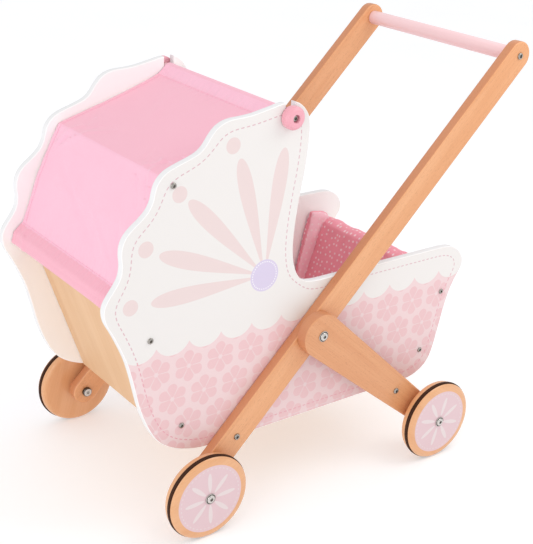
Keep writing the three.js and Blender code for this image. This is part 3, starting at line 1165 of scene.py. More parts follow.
def spline(points: Sequence[Sequence[float]], steps: int = 4) -> np.ndarray:
    """Draws a smooth line through points.

    Args:
        points: the points.
        steps: how many short lines there are between two points.

    Returns:
        The line's points.
    """
    p = np.asarray(points, float)
    q = np.vstack([p[0], p, p[-1]])
    drawn = []
    for i in range(len(p) - 1):
        p0, p1, p2, p3 = q[i : i + 4]
        v0, v1 = (p2 - p0) / 2, (p3 - p1) / 2
        for t in np.arange(steps) / steps:
            cubic = (2 * p1 - 2 * p2 + v0 + v1) * t**3
            drawn.append(cubic + (3 * p2 - 3 * p1 - 2 * v0 - v1) * t**2 + v0 * t + p1)
    drawn.append(p[-1])
    return np.array(drawn)


def arc(centre: Sequence[float], radius: float, start: float, end: float, count: int) -> np.ndarray:
    """Points on an arc.

    Args:
        centre: its centre.
        radius: its radius.
        start: the first angle in radians.
        end: the last angle.
        count: how many points.

    Returns:
        The points.
    """
    a = np.linspace(start, end, count)
    return np.column_stack([centre[0] + radius * np.cos(a), centre[1] + radius * np.sin(a)])


def eased(
    points: Sequence[Sequence[float]], radius: float, steps: int = 3, closed: bool = True
) -> np.ndarray:
    """Rounds the corners of a line.

    Args:
        points: the corners.
        radius: how far from a corner the rounding starts.
        steps: how many short lines make a corner.
        closed: whether the line closes on itself.

    Returns:
        The rounded line.
    """
    p = np.asarray(points, float)
    drawn: list[np.ndarray] = []
    for i, corner in enumerate(p):
        if not closed and i in (0, len(p) - 1):
            drawn.append(corner)
            continue
        ends = []
        for other in (p[i - 1], p[(i + 1) % len(p)]):
            gap = other - corner
            length = max(float(np.hypot(*gap)), 1e-9)
            ends.append(corner + gap * min(radius / length, 0.45))
        for t in np.linspace(0, 1, steps + 1):
            drawn.append((1 - t) ** 2 * ends[0] + 2 * t * (1 - t) * corner + t**2 * ends[1])
    return np.array(drawn)


def run_along(line: np.ndarray) -> np.ndarray:
    """The way from the start of a line to each of its points."""
    return np.concatenate([[0.0], np.cumsum(np.linalg.norm(np.diff(line, axis=0), axis=1))])


def evenly(points: np.ndarray, step: float, closed: bool = False) -> np.ndarray:
    """Spaces points evenly along a line.

    Args:
        points: the line.
        step: the distance wanted.
        closed: whether the line closes on itself; its first point isn't repeated.

    Returns:
        The evenly spaced points.
    """
    line = np.vstack([points, points[:1]]) if closed else points
    run = run_along(line)
    count = max(2, int(round(run[-1] / step)) + 1)
    marks = np.linspace(0, run[-1], count)
    spaced = np.column_stack([np.interp(marks, run, line[:, k]) for k in range(line.shape[1])])
    return spaced[:-1] if closed else spaced


def turned(
    name: str,
    profile: Sequence[Sequence[float]],
    centre: tuple[float, float],
    segments: int = 48,
    hexed: Iterable[int] = (),
) -> bpy.types.Object:
    """Turns a piece on the lathe, about an axis along y.

    Args:
        name: the piece's name.
        profile: radius and y of each point; it starts and ends on the axis, or closes on itself.
        centre: x and z of the axis.
        segments: how many faces go round; a multiple of 12 where a socket is cut.
        hexed: the profile points that lie on a hexagon instead of a circle.

    Returns:
        The piece.
    """
    angles = (np.arange(segments) + 0.5) * FULL_TURN / segments
    socket = math.cos(math.pi / 6) / np.cos((angles + math.pi / 6) % (math.pi / 3) - math.pi / 6)
    points, rings = [], []
    for k, (radius, y) in enumerate(profile):
        if radius < 1e-6:
            rings.append([len(points)] * segments)
            points.append((centre[0], y, centre[1]))
            continue
        r = radius * (socket if k in hexed else np.ones(segments))
        rings.append(list(range(len(points), len(points) + segments)))
        ring = np.column_stack(
            [centre[0] + r * np.cos(angles), np.full(segments, y), centre[1] + r * np.sin(angles)]
        )
        points.extend(map(tuple, ring))
    faces = []
    pairs = list(zip(rings, rings[1:]))
    if profile[0][0] > 1e-6:
        pairs.append((rings[-1], rings[0]))
    for low, high in pairs:
        for i in range(segments):
            j = (i + 1) % segments
            corners = (low[i], low[j], high[j], high[i])
            faces.append(tuple(dict.fromkeys(corners)))
    return smooth(mesh_piece(name, np.array(points), [f for f in faces if len(f) > 2]))


def plate(
    name: str,
    outline: np.ndarray,
    holes: Iterable[tuple[float, float, float]],
    y0: float,
    y1: float,
    rounding: float,
) -> bpy.types.Object:
    """Cuts a flat board in the x-z plane, with rounded edges and round holes.

    Args:
        name: the piece's name.
        outline: its outline.
        holes: x, z and radius of each hole.
        y0: where its thickness starts.
        y1: where its thickness ends.
        rounding: the radius of its edges.

    Returns:
        The board.
    """
    curve = bpy.data.curves.new(name, "CURVE")
    curve.dimensions = "2D"
    curve.fill_mode = "BOTH"
    curve.extrude = (y1 - y0) / 2 - rounding
    curve.bevel_depth = rounding
    curve.bevel_resolution = 2
    curve.offset = -rounding
    rings = [outline] + [arc((x, z), r, 0, FULL_TURN, 25)[:-1] for x, z, r in holes]
    for ring in rings:
        line = curve.splines.new("POLY")
        line.points.add(len(ring) - 1)
        fourth = np.column_stack([ring, np.zeros(len(ring)), np.ones(len(ring))])
        line.points.foreach_set("co", fourth.astype(np.float32).ravel())
        line.use_cyclic_u = True
    carrier = on_bench(name + "_outline", curve)
    mesh = settled(carrier)
    bpy.data.objects.remove(carrier)
    q = vectors_of(mesh.vertices, "co").astype(float)
    move_points(mesh, np.column_stack([q[:, 0], (y0 + y1) / 2 - q[:, 2], q[:, 1]]))
    mesh.name = name
    clean(mesh)
    return smooth(on_bench(name, mesh), 35.0, flat_y=True)


def hand_over(
    thing: bpy.types.Object, finish: Finish, body: Body | None, nodes: Iterable[str] = ()
) -> bpy.types.Object:
    """Dresses a piece and puts it on its CAD body.

    Args:
        thing: the piece.
        finish: its finish.
        body: the body it rides on, or None where it bends between two.
        nodes: the CAD nodes that it stands for.

    Returns:
        The piece.
    """
    keep_face_normals(thing)
    thing.data.materials.clear()
    thing.data.materials.append(finish.material())
    if body is not None:
        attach(thing, body.value)
    for node in nodes:
        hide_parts(node)
    LOG.info("%s: %d faces in %s", thing.name, len(thing.data.polygons), finish.name)
    return thing


def mirrored_points(points: Sequence[Sequence[float]], side: Side) -> list[tuple[float, float]]:
    """Puts a lathe profile drawn for the right side on the given side."""
    return [(r, y * side.value) for r, y in points]


def plank(a: Sequence[float], b: Sequence[float], ra: float, rb: float) -> np.ndarray:
    """Draws a plank with two round ends.

    Args:
        a: centre of the first end.
        b: centre of the second end.
        ra: radius of the first end.
        rb: radius of the second end.

    Returns:
        The outline.
    """
    heading = math.atan2(b[1] - a[1], b[0] - a[0])
    flare = math.acos((ra - rb) / math.hypot(b[0] - a[0], b[1] - a[1]))
    first = arc(a, ra, heading + flare, heading - flare + FULL_TURN, 37)
    return np.vstack([first, arc(b, rb, heading - flare, heading + flare, 37)])


def bench_shape(name: str, points: Sequence[Sequence[float]], faces: Faces) -> bpy.types.Object:
    """Makes a small shape round the origin, for a recipe to copy."""
    return mesh_piece(name, np.asarray(points, float) - DATUM, faces)


def pill(name: str, length: float, width: float, thickness: float, sides: int = 4) -> bpy.types.Object:
    """Makes a flat dash with round ends, its length along x and thickness along y.

    Args:
        name: the shape's name.
        length: its whole length.
        width: its width along z.
        thickness: its thickness.
        sides: how many short lines make a round end.

    Returns:
        The dash.
    """
    half, r = (length - width) / 2, width / 2
    right = arc((half, 0), r, -math.pi / 2, math.pi / 2, sides + 1)
    ring = np.vstack([right, -right])
    count = len(ring)
    points = [(x, -thickness / 2, z) for x, z in ring] + [(x, thickness / 2, z) for x, z in ring]
    faces = [tuple(range(count)), tuple(range(2 * count - 1, count - 1, -1))]
    faces += [(i, count + i, count + (i + 1) % count, (i + 1) % count) for i in range(count)]
    return bench_shape(name, points, faces)


def drop(*things: bpy.types.Object) -> None:
    """Removes bench shapes that are no longer needed."""
    for thing in things:
        bpy.data.objects.remove(thing)


@dataclass
class ScrewKit:
    """One screw shape and the recipe that sets it in place."""

    head: float = 3.4
    height: float = 1.4
    shank: float = 1.6
    length: float = 8.0
    socket: float = 1.75
    recipe: ScrewRecipe = field(default_factory=ScrewRecipe)

    def shape(self) -> bpy.types.Object:
        """A button head screw with a hexagon socket, its head towards +y."""
        h, s = self.height, self.socket
        profile = [
            (0, -self.length), (self.shank, -self.length), (self.shank, 0), (self.head, 0),
            (self.head, h * 0.35), (self.head * 0.93, h * 0.7), (self.head * 0.76, h * 0.95),
            (self.head * 0.62, h), (s + 0.12, h), (s, h - 0.15), (s, -0.5), (0, -0.9),
        ]
        return turned("screw_shape", profile, (-DATUM[0], -DATUM[2]), 24, {8, 9, 10})

    def set_in(
        self,
        name: str,
        places: Sequence[tuple[float, float, float]],
        size: float,
        body: Body,
        nodes: Iterable[str],
    ) -> bpy.types.Object:
        """Sets screws on both sides of the pram.

        Args:
            name: the piece's name.
            places: x, z and height of the seat above the centre plane, for the right side.
            body: the body they ride on.
            nodes: the CAD nodes they stand for.

        Returns:
            The screws as one mesh.
        """
        shape = self.shape()
        points = [(x, y * side.value, z) for side in Side for x, z, y in places]
        carrier = mesh_piece(name, np.array(points), [], tidy=False)
        facing = [(0.0, side.value, 0.0) for side in Side for _ in places]
        keep_vector(carrier, "facing", np.array(facing))
        self.recipe.run(carrier, {"Screw": shape, "Size": size, "Finish": NICKEL.material()})
        drop(shape)
        smooth(carrier)
        return hand_over(carrier, NICKEL, body, nodes)


# ------------------------------------------------------------------ cabin


@dataclass
class Cabin:
    """Side panels, end boards and floor, with the panels' print, dashes and screws."""

    screws: ScrewKit
    inner: float = 117.0
    thickness: float = 9.0
    rounding: float = 1.1
    pivot: tuple[float, float] = (161.83, 206.39)
    bar_screw: tuple[float, float] = (54.9, 99.63)
    leg_screw: tuple[float, float] = (286.6, 98.41)
    head_screws: tuple[tuple[float, float], ...] = ((-51.9, 243.8), (-11.6, 128.8))
    foot_screws: tuple[tuple[float, float], ...] = ((378.3, 202.2), (350.7, 126.1))
    hood_screw: tuple[float, float] = (-25.4, 411.5)
    notch: tuple[float, float, float] = (120.0, 464.5, 6.5)
    head_board: tuple[tuple[float, float], tuple[float, float]] = ((-0.3, 96.4), (-63.6, 277.0))
    foot_board: tuple[tuple[float, float], tuple[float, float]] = ((339.2, 94.6), (385.4, 222.0))
    board_half: float = 4.5
    dash_inset: float = 11.0
    dash_pitch: float = 7.1
    foot_end: tuple[tuple[float, float], ...] = (
        (335, 90), (346, 92.6), (356, 97.4), (363.8, 103.6), (369.3, 111), (373, 120), (376.3, 131.5),
        (380, 146.6), (386, 173.8), (389.6, 187), (393.8, 199.5), (398.5, 210), (404.2, 219.5),
        (409.4, 227.3), (411.8, 235.4), (410, 243.6), (404.8, 251.4), (396.4, 258.2), (386, 262.2),
        (374, 263.6),
    )
    cabin_side: tuple[tuple[float, float], ...] = (
        (176, 263.6), (164, 264.6), (153.9, 267), (146.2, 272), (140.6, 280), (136.9, 289.6),
        (134.7, 299.4), (133.6, 315), (134.4, 333), (136.9, 356), (140.4, 379), (144.2, 401),
        (146.9, 424), (148, 444), (147.4, 455), (145.6, 463), (142, 469), (137.6, 473.8),
        (132.4, 477.6), (126.5, 480),
    )
    hood_edge: tuple[tuple[float, float], ...] = (
        (113.5, 479.8), (107, 479.2), (98, 477.2), (86, 474.9), (73.4, 472.6), (60, 471.4),
        (45.7, 470.8), (36, 468.6), (27.6, 464.2), (20.4, 456.8), (12.6, 446.4), (5, 440.4),
        (-6, 436), (-20, 431.5), (-31.4, 427), (-39.2, 421.2), (-44.4, 414), (-47, 406),
        (-49.2, 397.4), (-54.4, 388.2), (-63.4, 379.8), (-73, 372.6), (-80.4, 364.8),
        (-84.6, 355.6), (-85.6, 345.4), (-84.8, 334.6), (-86.8, 323), (-92.8, 312.8),
        (-100.4, 302.8), (-105, 294.6), (-106.2, 286), (-103.8, 275), (-96.4, 261), (-88.2, 244),
        (-80.6, 226), (-74.8, 206.6), (-70, 187), (-65.4, 168), (-59.4, 150.5), (-51.8, 133.4),
        (-43, 119.4), (-32, 109), (-18, 101), (-2, 95.2), (13, 91.9), (30, 90.4),
    )

    @property
    def outer(self) -> float:
        """Distance of the panels' outer faces from the centre plane."""
        return self.inner + self.thickness

    def outline(self, notched: bool) -> np.ndarray:
        """The panel's outline.

        Args:
            notched: whether the slot for the hood's top bar is cut.

        Returns:
            The closed outline, anticlockwise.
        """
        x, z, half = self.notch
        slot = arc((x, z), half, 0, -math.pi, 21) if notched else np.empty((0, 2))
        parts = [spline(self.foot_end), spline(self.cabin_side), slot, spline(self.hood_edge)[:-1]]
        return np.vstack(parts)

    def panels(self) -> None:
        """Cuts and prints the two side panels."""
        holes = [(*self.pivot, 3.4), (*self.bar_screw, 2.4), (*self.leg_screw, 2.4)]
        holes += [(x, z, 1.9) for x, z in (*self.head_screws, *self.foot_screws, self.hood_screw)]
        for side in Side:
            low, high = sorted((self.inner * side.value, self.outer * side.value))
            panel = plate(f"printed_panel_{side.word}", self.outline(True), holes, low, high, self.rounding)
            hand_over(panel, PRINTED_WHITE, Body.CHASSIS, [f"side_panel_{side.word}"])

    def dash_line(self) -> np.ndarray:
        """The line that the printed dashes follow, inside the outline."""
        outline = evenly(self.outline(False), 2.0, closed=True)
        line = outline
        for depth in (0.0, self.dash_inset / 2, self.dash_inset / 2):
            line = self._relaxed(line, 3)
            ahead = np.roll(line, -1, 0) - np.roll(line, 1, 0)
            ahead /= np.linalg.norm(ahead, axis=1)[:, None]
            line = line + depth * np.column_stack([-ahead[:, 1], ahead[:, 0]])
            gap = np.linalg.norm(line[:, None] - outline[None], axis=2).min(1)
            line = evenly(line[gap > depth * 0.86], 2.0, closed=True)
        return self._relaxed(line, 2)

    @staticmethod
    def _relaxed(line: np.ndarray, reach: int) -> np.ndarray:
        """Evens out a closed line.

        Args:
            line: the line, evenly spaced.
            reach: how many neighbours on each side count.

        Returns:
            The calmer line.
        """
        weights = np.exp(-0.5 * (np.arange(-2 * reach, 2 * reach + 1) / reach) ** 2)
        shifted = [np.roll(line, k, 0) * w for k, w in zip(range(-2 * reach, 2 * reach + 1), weights)]
        return np.sum(shifted, axis=0) / weights.sum()

    def dashes(self) -> None:
        """Prints the dashes round each panel."""
        recipe = StitchRecipe("dashes_along_edge", "Y")
        shape = pill("dash_shape", 4.4, 1.15, 0.05)
        line = self.dash_line()
        count = len(line)
        for side in Side:
            level = np.full(count, (self.outer + 0.02) * side.value)
            points = np.column_stack([line[:, 0], level, line[:, 1]])
            mesh = bpy.data.meshes.new(f"edge_dashes_{side.word}")
            mesh.from_pydata(metres(points).tolist(), [(i, (i + 1) % count) for i in range(count)], [])
            carrier = on_bench(mesh.name, mesh)
            values = {"Stitch": shape, "Pitch": self.dash_pitch * MM, "Finish": STITCH_INK.material()}
            hand_over(recipe.run(carrier, values), STITCH_INK, Body.CHASSIS)
        drop(shape)

    def _board(
        self,
        name: str,
        outline: Sequence[Sequence[float]],
        middle: Sequence[float],
        degrees: float,
        node: str,
    ) -> None:
        """Cuts a board that lies across the cabin.

        Args:
            name: the piece's name.
            outline: its section in the x-z plane.
            middle: a point in the middle of its thickness.
            degrees: the slope of its section.
            node: the CAD node that it stands for.
        """
        half = self.inner - 0.4
        board = plate(name, eased(outline, 1.2), [], -half, half, 0.8)
        set_grain(board, degrees, 0.4)
        p = points_of(board.data)
        c, s = math.cos(math.radians(degrees)), math.sin(math.radians(degrees))
        depth = (p[:, 2] - middle[1]) * c - (p[:, 0] - middle[0]) * s
        skin = np.abs(np.abs(depth) - self.board_half) > 0.6
        keep_vector(board, "ply", np.column_stack([depth + self.board_half, skin, np.zeros(len(p))]))
        hand_over(board, PLYWOOD, Body.CHASSIS, [node])

    def boards(self) -> None:
        """Cuts the head board, the foot board and the floor."""
        for name, (foot, top) in (("head_board", self.head_board), ("foot_board", self.foot_board)):
            slope = math.atan2(top[1] - foot[1], top[0] - foot[0])
            n = np.array((-math.sin(slope), math.cos(slope))) * self.board_half
            a, b = np.array(foot), np.array(top)
            section = (a + n, b + n, b - n, a - n)
            self._board(f"plywood_{name}", section, foot, math.degrees(slope), node=name)
        section = ((6.5, 94.5), (333.5, 94.5), (335.5, 106.5), (6.5, 106.5))
        self._board("plywood_floor", section, (20, 100.5), 0.0, "floor_board")

    def build(self) -> None:
        """Makes the whole cabin."""
        self.panels()
        self.dashes()
        self.boards()
        spots = (*self.head_screws, *self.foot_screws, self.hood_screw)
        places = [(x, z, self.outer + GAP) for x, z in spots]
        names = ["hood_screw"]
        names += [f"{end}_screw_{level}" for end in ("head", "foot") for level in ("upper", "lower")]
        nodes = [f"{name}_{side.word}" for name in names for side in Side]
        self.screws.set_in("panel_screws", places, 1.0, Body.CHASSIS, nodes)


# ------------------------------------------------------------------ hood


@dataclass
class Hood:
    """The hood's three bars, its knobs, and the cloth stretched over them."""

    screws: ScrewKit
    top: tuple[float, float] = (120.0, 464.5)
    elbow: tuple[float, float] = (-25.4, 411.5)
    lower: tuple[float, float] = (-86.0, 290.0)
    half: float = 116.2
    cloth: float = 0.9
    seam_top: tuple[float, float] = (104.2, 459.9)
    seam_low: tuple[float, float] = (-79.2, 303.6)
    side_hem: float = 7.5
    crease_reach: float = 26.0
    # A crease's x, z and y, its slope, its width and its depth.
    creases: tuple[tuple[float, ...], ...] = (
        (-34, 404, -96, 0.55, 4.0, 2.0), (-40, 392, -104, 0.9, 3.4, -1.6),
        (4, 429, -98, -0.7, 5.0, -1.5), (-14, 424, -84, -0.9, 4.0, 1.3),
        (-30, 408, -70, 0.7, 4.0, -1.2), (-70, 330, -60, 1.4, 7.0, 1.4),
        (-66, 342, -84, 0.5, 6.0, -1.4), (-72, 326, -100, 0.3, 5.0, 1.2),
        (-60, 356, 20, 1.8, 10.0, -1.1), (60, 446, 40, 0.6, 10.0, 0.9),
        (-82, 296, 96, 0.4, 4.0, 1.2), (-36, 402, 98, -0.6, 4.0, 1.8),
        (-30, 409, 84, -0.9, 4.0, -1.5), (-26, 414, 66, -1.2, 5.0, 1.1),
        (0, 427, 92, 0.8, 6.0, -1.1),
    )

    def bars(self) -> None:
        """Turns the three bars."""
        for name, place, radius, half, finish, body in (
            ("elbow", self.elbow, 5.0, 116.7, BEECH, Body.CHASSIS),
            ("lower", self.lower, 5.0, 121.5, BEECH, Body.CHASSIS),
            ("top", self.top, 6.0, 126.1, ROD_PINK, Body.HOOD_BAR),
        ):
            section = eased([(0, -half), (radius, -half), (radius, half), (0, half)], 1.0, 3, closed=False)
            bar = turned(f"hood_dowel_{name}", section, place, 36)
            set_grain(bar, 0.0, 0.2, across=True)
            hand_over(bar, finish, body, [f"hood_{name}_bar"])

    def knobs(self) -> None:
        """Turns the knobs and sets their screws."""
        y0 = 126.4
        y1 = y0 + 11.5
        section = [
            (2.3, y0), (11.3, y0), (12.7, y0 + 0.9), (13, y0 + 2.4), (13, y1 - 4.4), (12.7, y1 - 3.2),
            (11.9, y1 - 2.2), (11.4, y1 - 1.9), (11.0, y1 - 1.2), (10.2, y1 - 0.35), (8.6, y1),
            (5.2, y1), (4.6, y1 - 0.4), (4.4, y1 - 1.2), (4.4, y1 - 4.5), (2.3, y1 - 4.5),
        ]
        for side in Side:
            knob = turned(f"turned_knob_{side.word}", mirrored_points(section, side), self.top, 60)
            set_grain(knob, 30.0, 0.1)
            hand_over(knob, KNOB_PINK, Body.HOOD_BAR, [f"hood_knob_{side.word}"])
        nodes = [f"hood_knob_screw_{side.word}" for side in Side]
        self.screws.set_in("knob_screws", [(*self.top, y1 - 4.2)], 1.1, Body.HOOD_BAR, nodes)

    def path(self) -> np.ndarray:
        """The middle line of the cloth, from inside the top tunnel to inside the lower hem."""
        over_top = arc(self.top, 7.3, math.radians(-118), math.radians(150), 40)
        over_elbow = arc(self.elbow, 5.8, math.radians(106), math.radians(154), 9)
        round_low = arc(self.lower, 6.2, math.radians(118), math.radians(190), 12)
        parts = [
            [(94.0, 454.9), (103.0, 457.8), (109.5, 458.9)], over_top,
            [(108.2, 463.0), self.seam_top, (96.0, 456.9), (60, 445.7), (20, 433.3)], over_elbow,
            [(-40.0, 398.4), (-60.4, 358.6), (-74.0, 318.5), self.seam_low, (-83.6, 300.2)], round_low,
            [(-93.4, 286.0), (-94.9, 281.8), (-93.6, 280.2), (-91.6, 280.6), (-88.6, 283.0), (-81.0, 285.4),
             (-78.6, 291.0), (-77.0, 300.8), (-76.2, 306.0)],
        ]
        return evenly(eased(np.vstack([np.array(p) for p in parts]), 1.6, 2, closed=False), 1.6)

    @staticmethod
    def _slack(line: np.ndarray) -> tuple[np.ndarray, np.ndarray]:
        """How free of the bars the cloth is.

        Args:
            line: points of the path.

        Returns:
            A share for each point, over the top and down the front.
        """
        top = np.sin(np.pi * np.clip((line[:, 0] + 24) / 128, 0, 1)) * (line[:, 1] > 415)
        front = np.sin(np.pi * np.clip((413 - line[:, 1]) / 109, 0, 1)) * (line[:, 0] < -28)
        return top, front

    def _folds(self, line: np.ndarray, across: np.ndarray) -> np.ndarray:
        """How far the cloth stands off its middle line.

        Args:
            line: the path's points.
            across: each column's y, from -1 to 1.

        Returns:
            The distance outwards, by path point and column.
        """
        x, z = line[:, 0][:, None], line[:, 1][:, None]
        v = across[None, :]
        y = v * self.half
        top, front = self._slack(line)
        belly = (top * 2.2 + front * 1.1)[:, None]
        off = -belly * (1.0 - 0.35 * v**2)
        near_top = np.exp(-(((x - self.seam_top[0]) / 9) ** 2)) * (z > 440)
        near_low = np.exp(-(((z - self.seam_low[1]) / 10) ** 2)) * (x < -60)
        ripple = np.sin(y * 0.62 + 1.4 * np.sin(y * 0.11)) + 0.6 * np.sin(y * 1.13 + 2.0)
        off = off + 0.28 * ripple * (near_top + near_low)
        past_hem = np.abs(y) - (self.half - self.side_hem)
        off = off + 0.3 * np.clip(past_hem / 1.2, 0, 1) - 0.2 * np.exp(-((past_hem / 1.4) ** 2))
        for cx, cz, cy, slope, width, depth in self.creases:
            near = np.hypot(x - cx, z - cz) * np.where(z > cz, 1, -1)
            aside = (y - cy) - slope * near
            off = off + depth * np.exp(-((aside / width) ** 2) - (near / self.crease_reach) ** 2)
        # Gathers in the lower hem, near the left panel.
        hemmed = np.clip((308 - z) / 8, 0, 1) * (x < -70)
        bunch = np.exp(-(((y + 98) / 17) ** 2))
        off = off + 0.4 * bunch * hemmed * (1 + np.sin(1.25 * y + 0.07 * (z - 290)))
        # No crease sinks into the elbow bar.
        reach = np.hypot(x - self.elbow[0], z - self.elbow[1])
        return np.maximum(off, np.minimum(0.0, (6.4 - reach) * 0.4))

    def canopy(self) -> None:
        """Stretches one sheet of cloth over the bars."""
        line = self.path()
        ahead = np.gradient(line, axis=0)
        ahead /= np.linalg.norm(ahead, axis=1)[:, None]
        # The path turns anticlockwise round the bars, so outwards is on its right.
        out = np.column_stack([ahead[:, 1], -ahead[:, 0]])
        columns = 161
        across = np.linspace(-1, 1, columns)
        off = self._folds(line, across)
        run = run_along(line)
        span = sum(self._slack(line))
        points = np.empty((len(line), columns, 3))
        points[:, :, 0] = line[:, 0][:, None] + out[:, 0][:, None] * off
        points[:, :, 2] = line[:, 1][:, None] + out[:, 1][:, None] * off
        points[:, :, 1] = across[None, :] * (self.half - 1.3 * span[:, None] - 0.3)
        rows = len(line)
        grid = np.arange(rows * columns).reshape(rows, columns)
        faces = np.stack([grid[:-1, :-1], grid[:-1, 1:], grid[1:, 1:], grid[1:, :-1]], -1).reshape(-1, 4)
        sheet = mesh_piece("hood_cloth", points.reshape(-1, 3), faces.tolist(), tidy=False)
        flat = np.stack(np.broadcast_arrays(across[None, :] * self.half, run[:, None], 0.0), -1)
        keep_vector(sheet, "cloth", flat.reshape(-1, 3) * MM)
        thick = sheet.modifiers.new("thickness", "SOLIDIFY")
        thick.thickness, thick.offset = self.cloth * MM, 0.0
        settle(sheet)
        smooth(sheet, 60.0)
        hand_over(sheet, PINK_COTTON, None, ["canopy", "canopy_hem"])
        metres((-20, 0, 430))
        metres((100, 0, 460))
        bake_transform(sheet)
        self.thread(line, out)

    def thread(self, line: np.ndarray, out: np.ndarray) -> None:
        """Sews the seams.

        Args:
            line: the cloth's middle line.
            out: its outward direction.
        """
        recipe = StitchRecipe("thread_along_seam", "AUTO")
        shape = pill("thread_shape", 2.3, 0.5, 0.5, 3)
        values = {"Stitch": shape, "Pitch": 3.1 * MM, "Finish": THREAD.material()}
        near = {}
        for key, seam in (("top", self.seam_top), ("low", self.seam_low)):
            start = 30 if key == "top" else 0
            near[key] = start + int(np.argmin(np.hypot(*(line[start:] - seam).T)))
        first, last = near["top"], near["low"]
        runs: list[tuple[str, np.ndarray, Body | None]] = []
        lift = self.cloth / 2 + 0.05
        for key, body in (("top", Body.HOOD_BAR), ("low", Body.CHASSIS)):
            i = near[key]
            y = np.linspace(-self.half + 3, self.half - 3, 90)
            level = self._folds(line[i : i + 1], y / self.half)[0]
            spot = line[i] + out[i] * (level + lift)[:, None]
            runs.append((f"seam_thread_{key}", np.column_stack([spot[:, 0], y, spot[:, 1]]), body))
        for side in Side:
            part = np.arange(first + 2, last - 2)
            share = side.value * (self.half - 6.0) / self.half
            level = self._folds(line[part], np.array([share]))[:, 0]
            span = sum(self._slack(line[part]))
            spot = line[part] + out[part] * (level + lift)[:, None]
            y = share * (self.half - 1.3 * span - 0.3)
            runs.append((f"hem_thread_{side.word}", np.column_stack([spot[:, 0], y, spot[:, 1]]), None))
        for name, points, body in runs:
            mesh = bpy.data.meshes.new(name)
            mesh.from_pydata(metres(points).tolist(), [(i, i + 1) for i in range(len(points) - 1)], [])
            piece = recipe.run(on_bench(name, mesh), values)
            keep_vector(piece, "cloth", points_of(piece.data) * MM)
            hand_over(smooth(piece, 80.0), THREAD, body)
            if body is None:
                metres((-20, 0, 430))
                metres((100, 0, 460))
                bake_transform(piece)
        drop(shape)

    def build(self) -> None:
        """Makes the whole hood."""
        self.bars()
        self.knobs()
        self.canopy()


# ------------------------------------------------------------------ push frame

# The points of a through bolt's profile that make its hexagon socket.
BOLT_SOCKET = (22, 23, 24)


def through_bolt(y0: float, y1: float, shank: float, nut: float) -> list[tuple[float, float]]:
    """Draws a through bolt for the right side.

    Args:
        y0: where the nut bears, inside.
        y1: where the washer bears, outside.
        shank: the shank's radius.
        nut: the nut's radius.

    Returns:
        The lathe profile, from the inner end to the hexagon socket.
    """
    inner = (
        (0, -4), (1.3, -4), (1.8, -4.2), (1.8, -4.6), (nut - 1.4, -4.6), (nut - 0.5, -4.2),
        (nut, -3.4), (nut, -0.3), (nut - 0.3, 0), (shank, 0),
    )
    outer = (
        (shank, 0), (6.2, 0), (6.6, 0.2), (6.6, 0.6), (6.2, 0.9), (5.7, 0.9), (5.3, 0.5), (5.1, 0.5),
        (5.0, 1.4), (4.6, 2.0), (3.8, 2.35), (2.9, 2.5), (2.3, 2.5), (2.1, 2.3), (2.1, 1.1), (0, 0.8),
    )
    return [(r, y0 + y) for r, y in inner] + [(r, y1 + y) for r, y in outer]


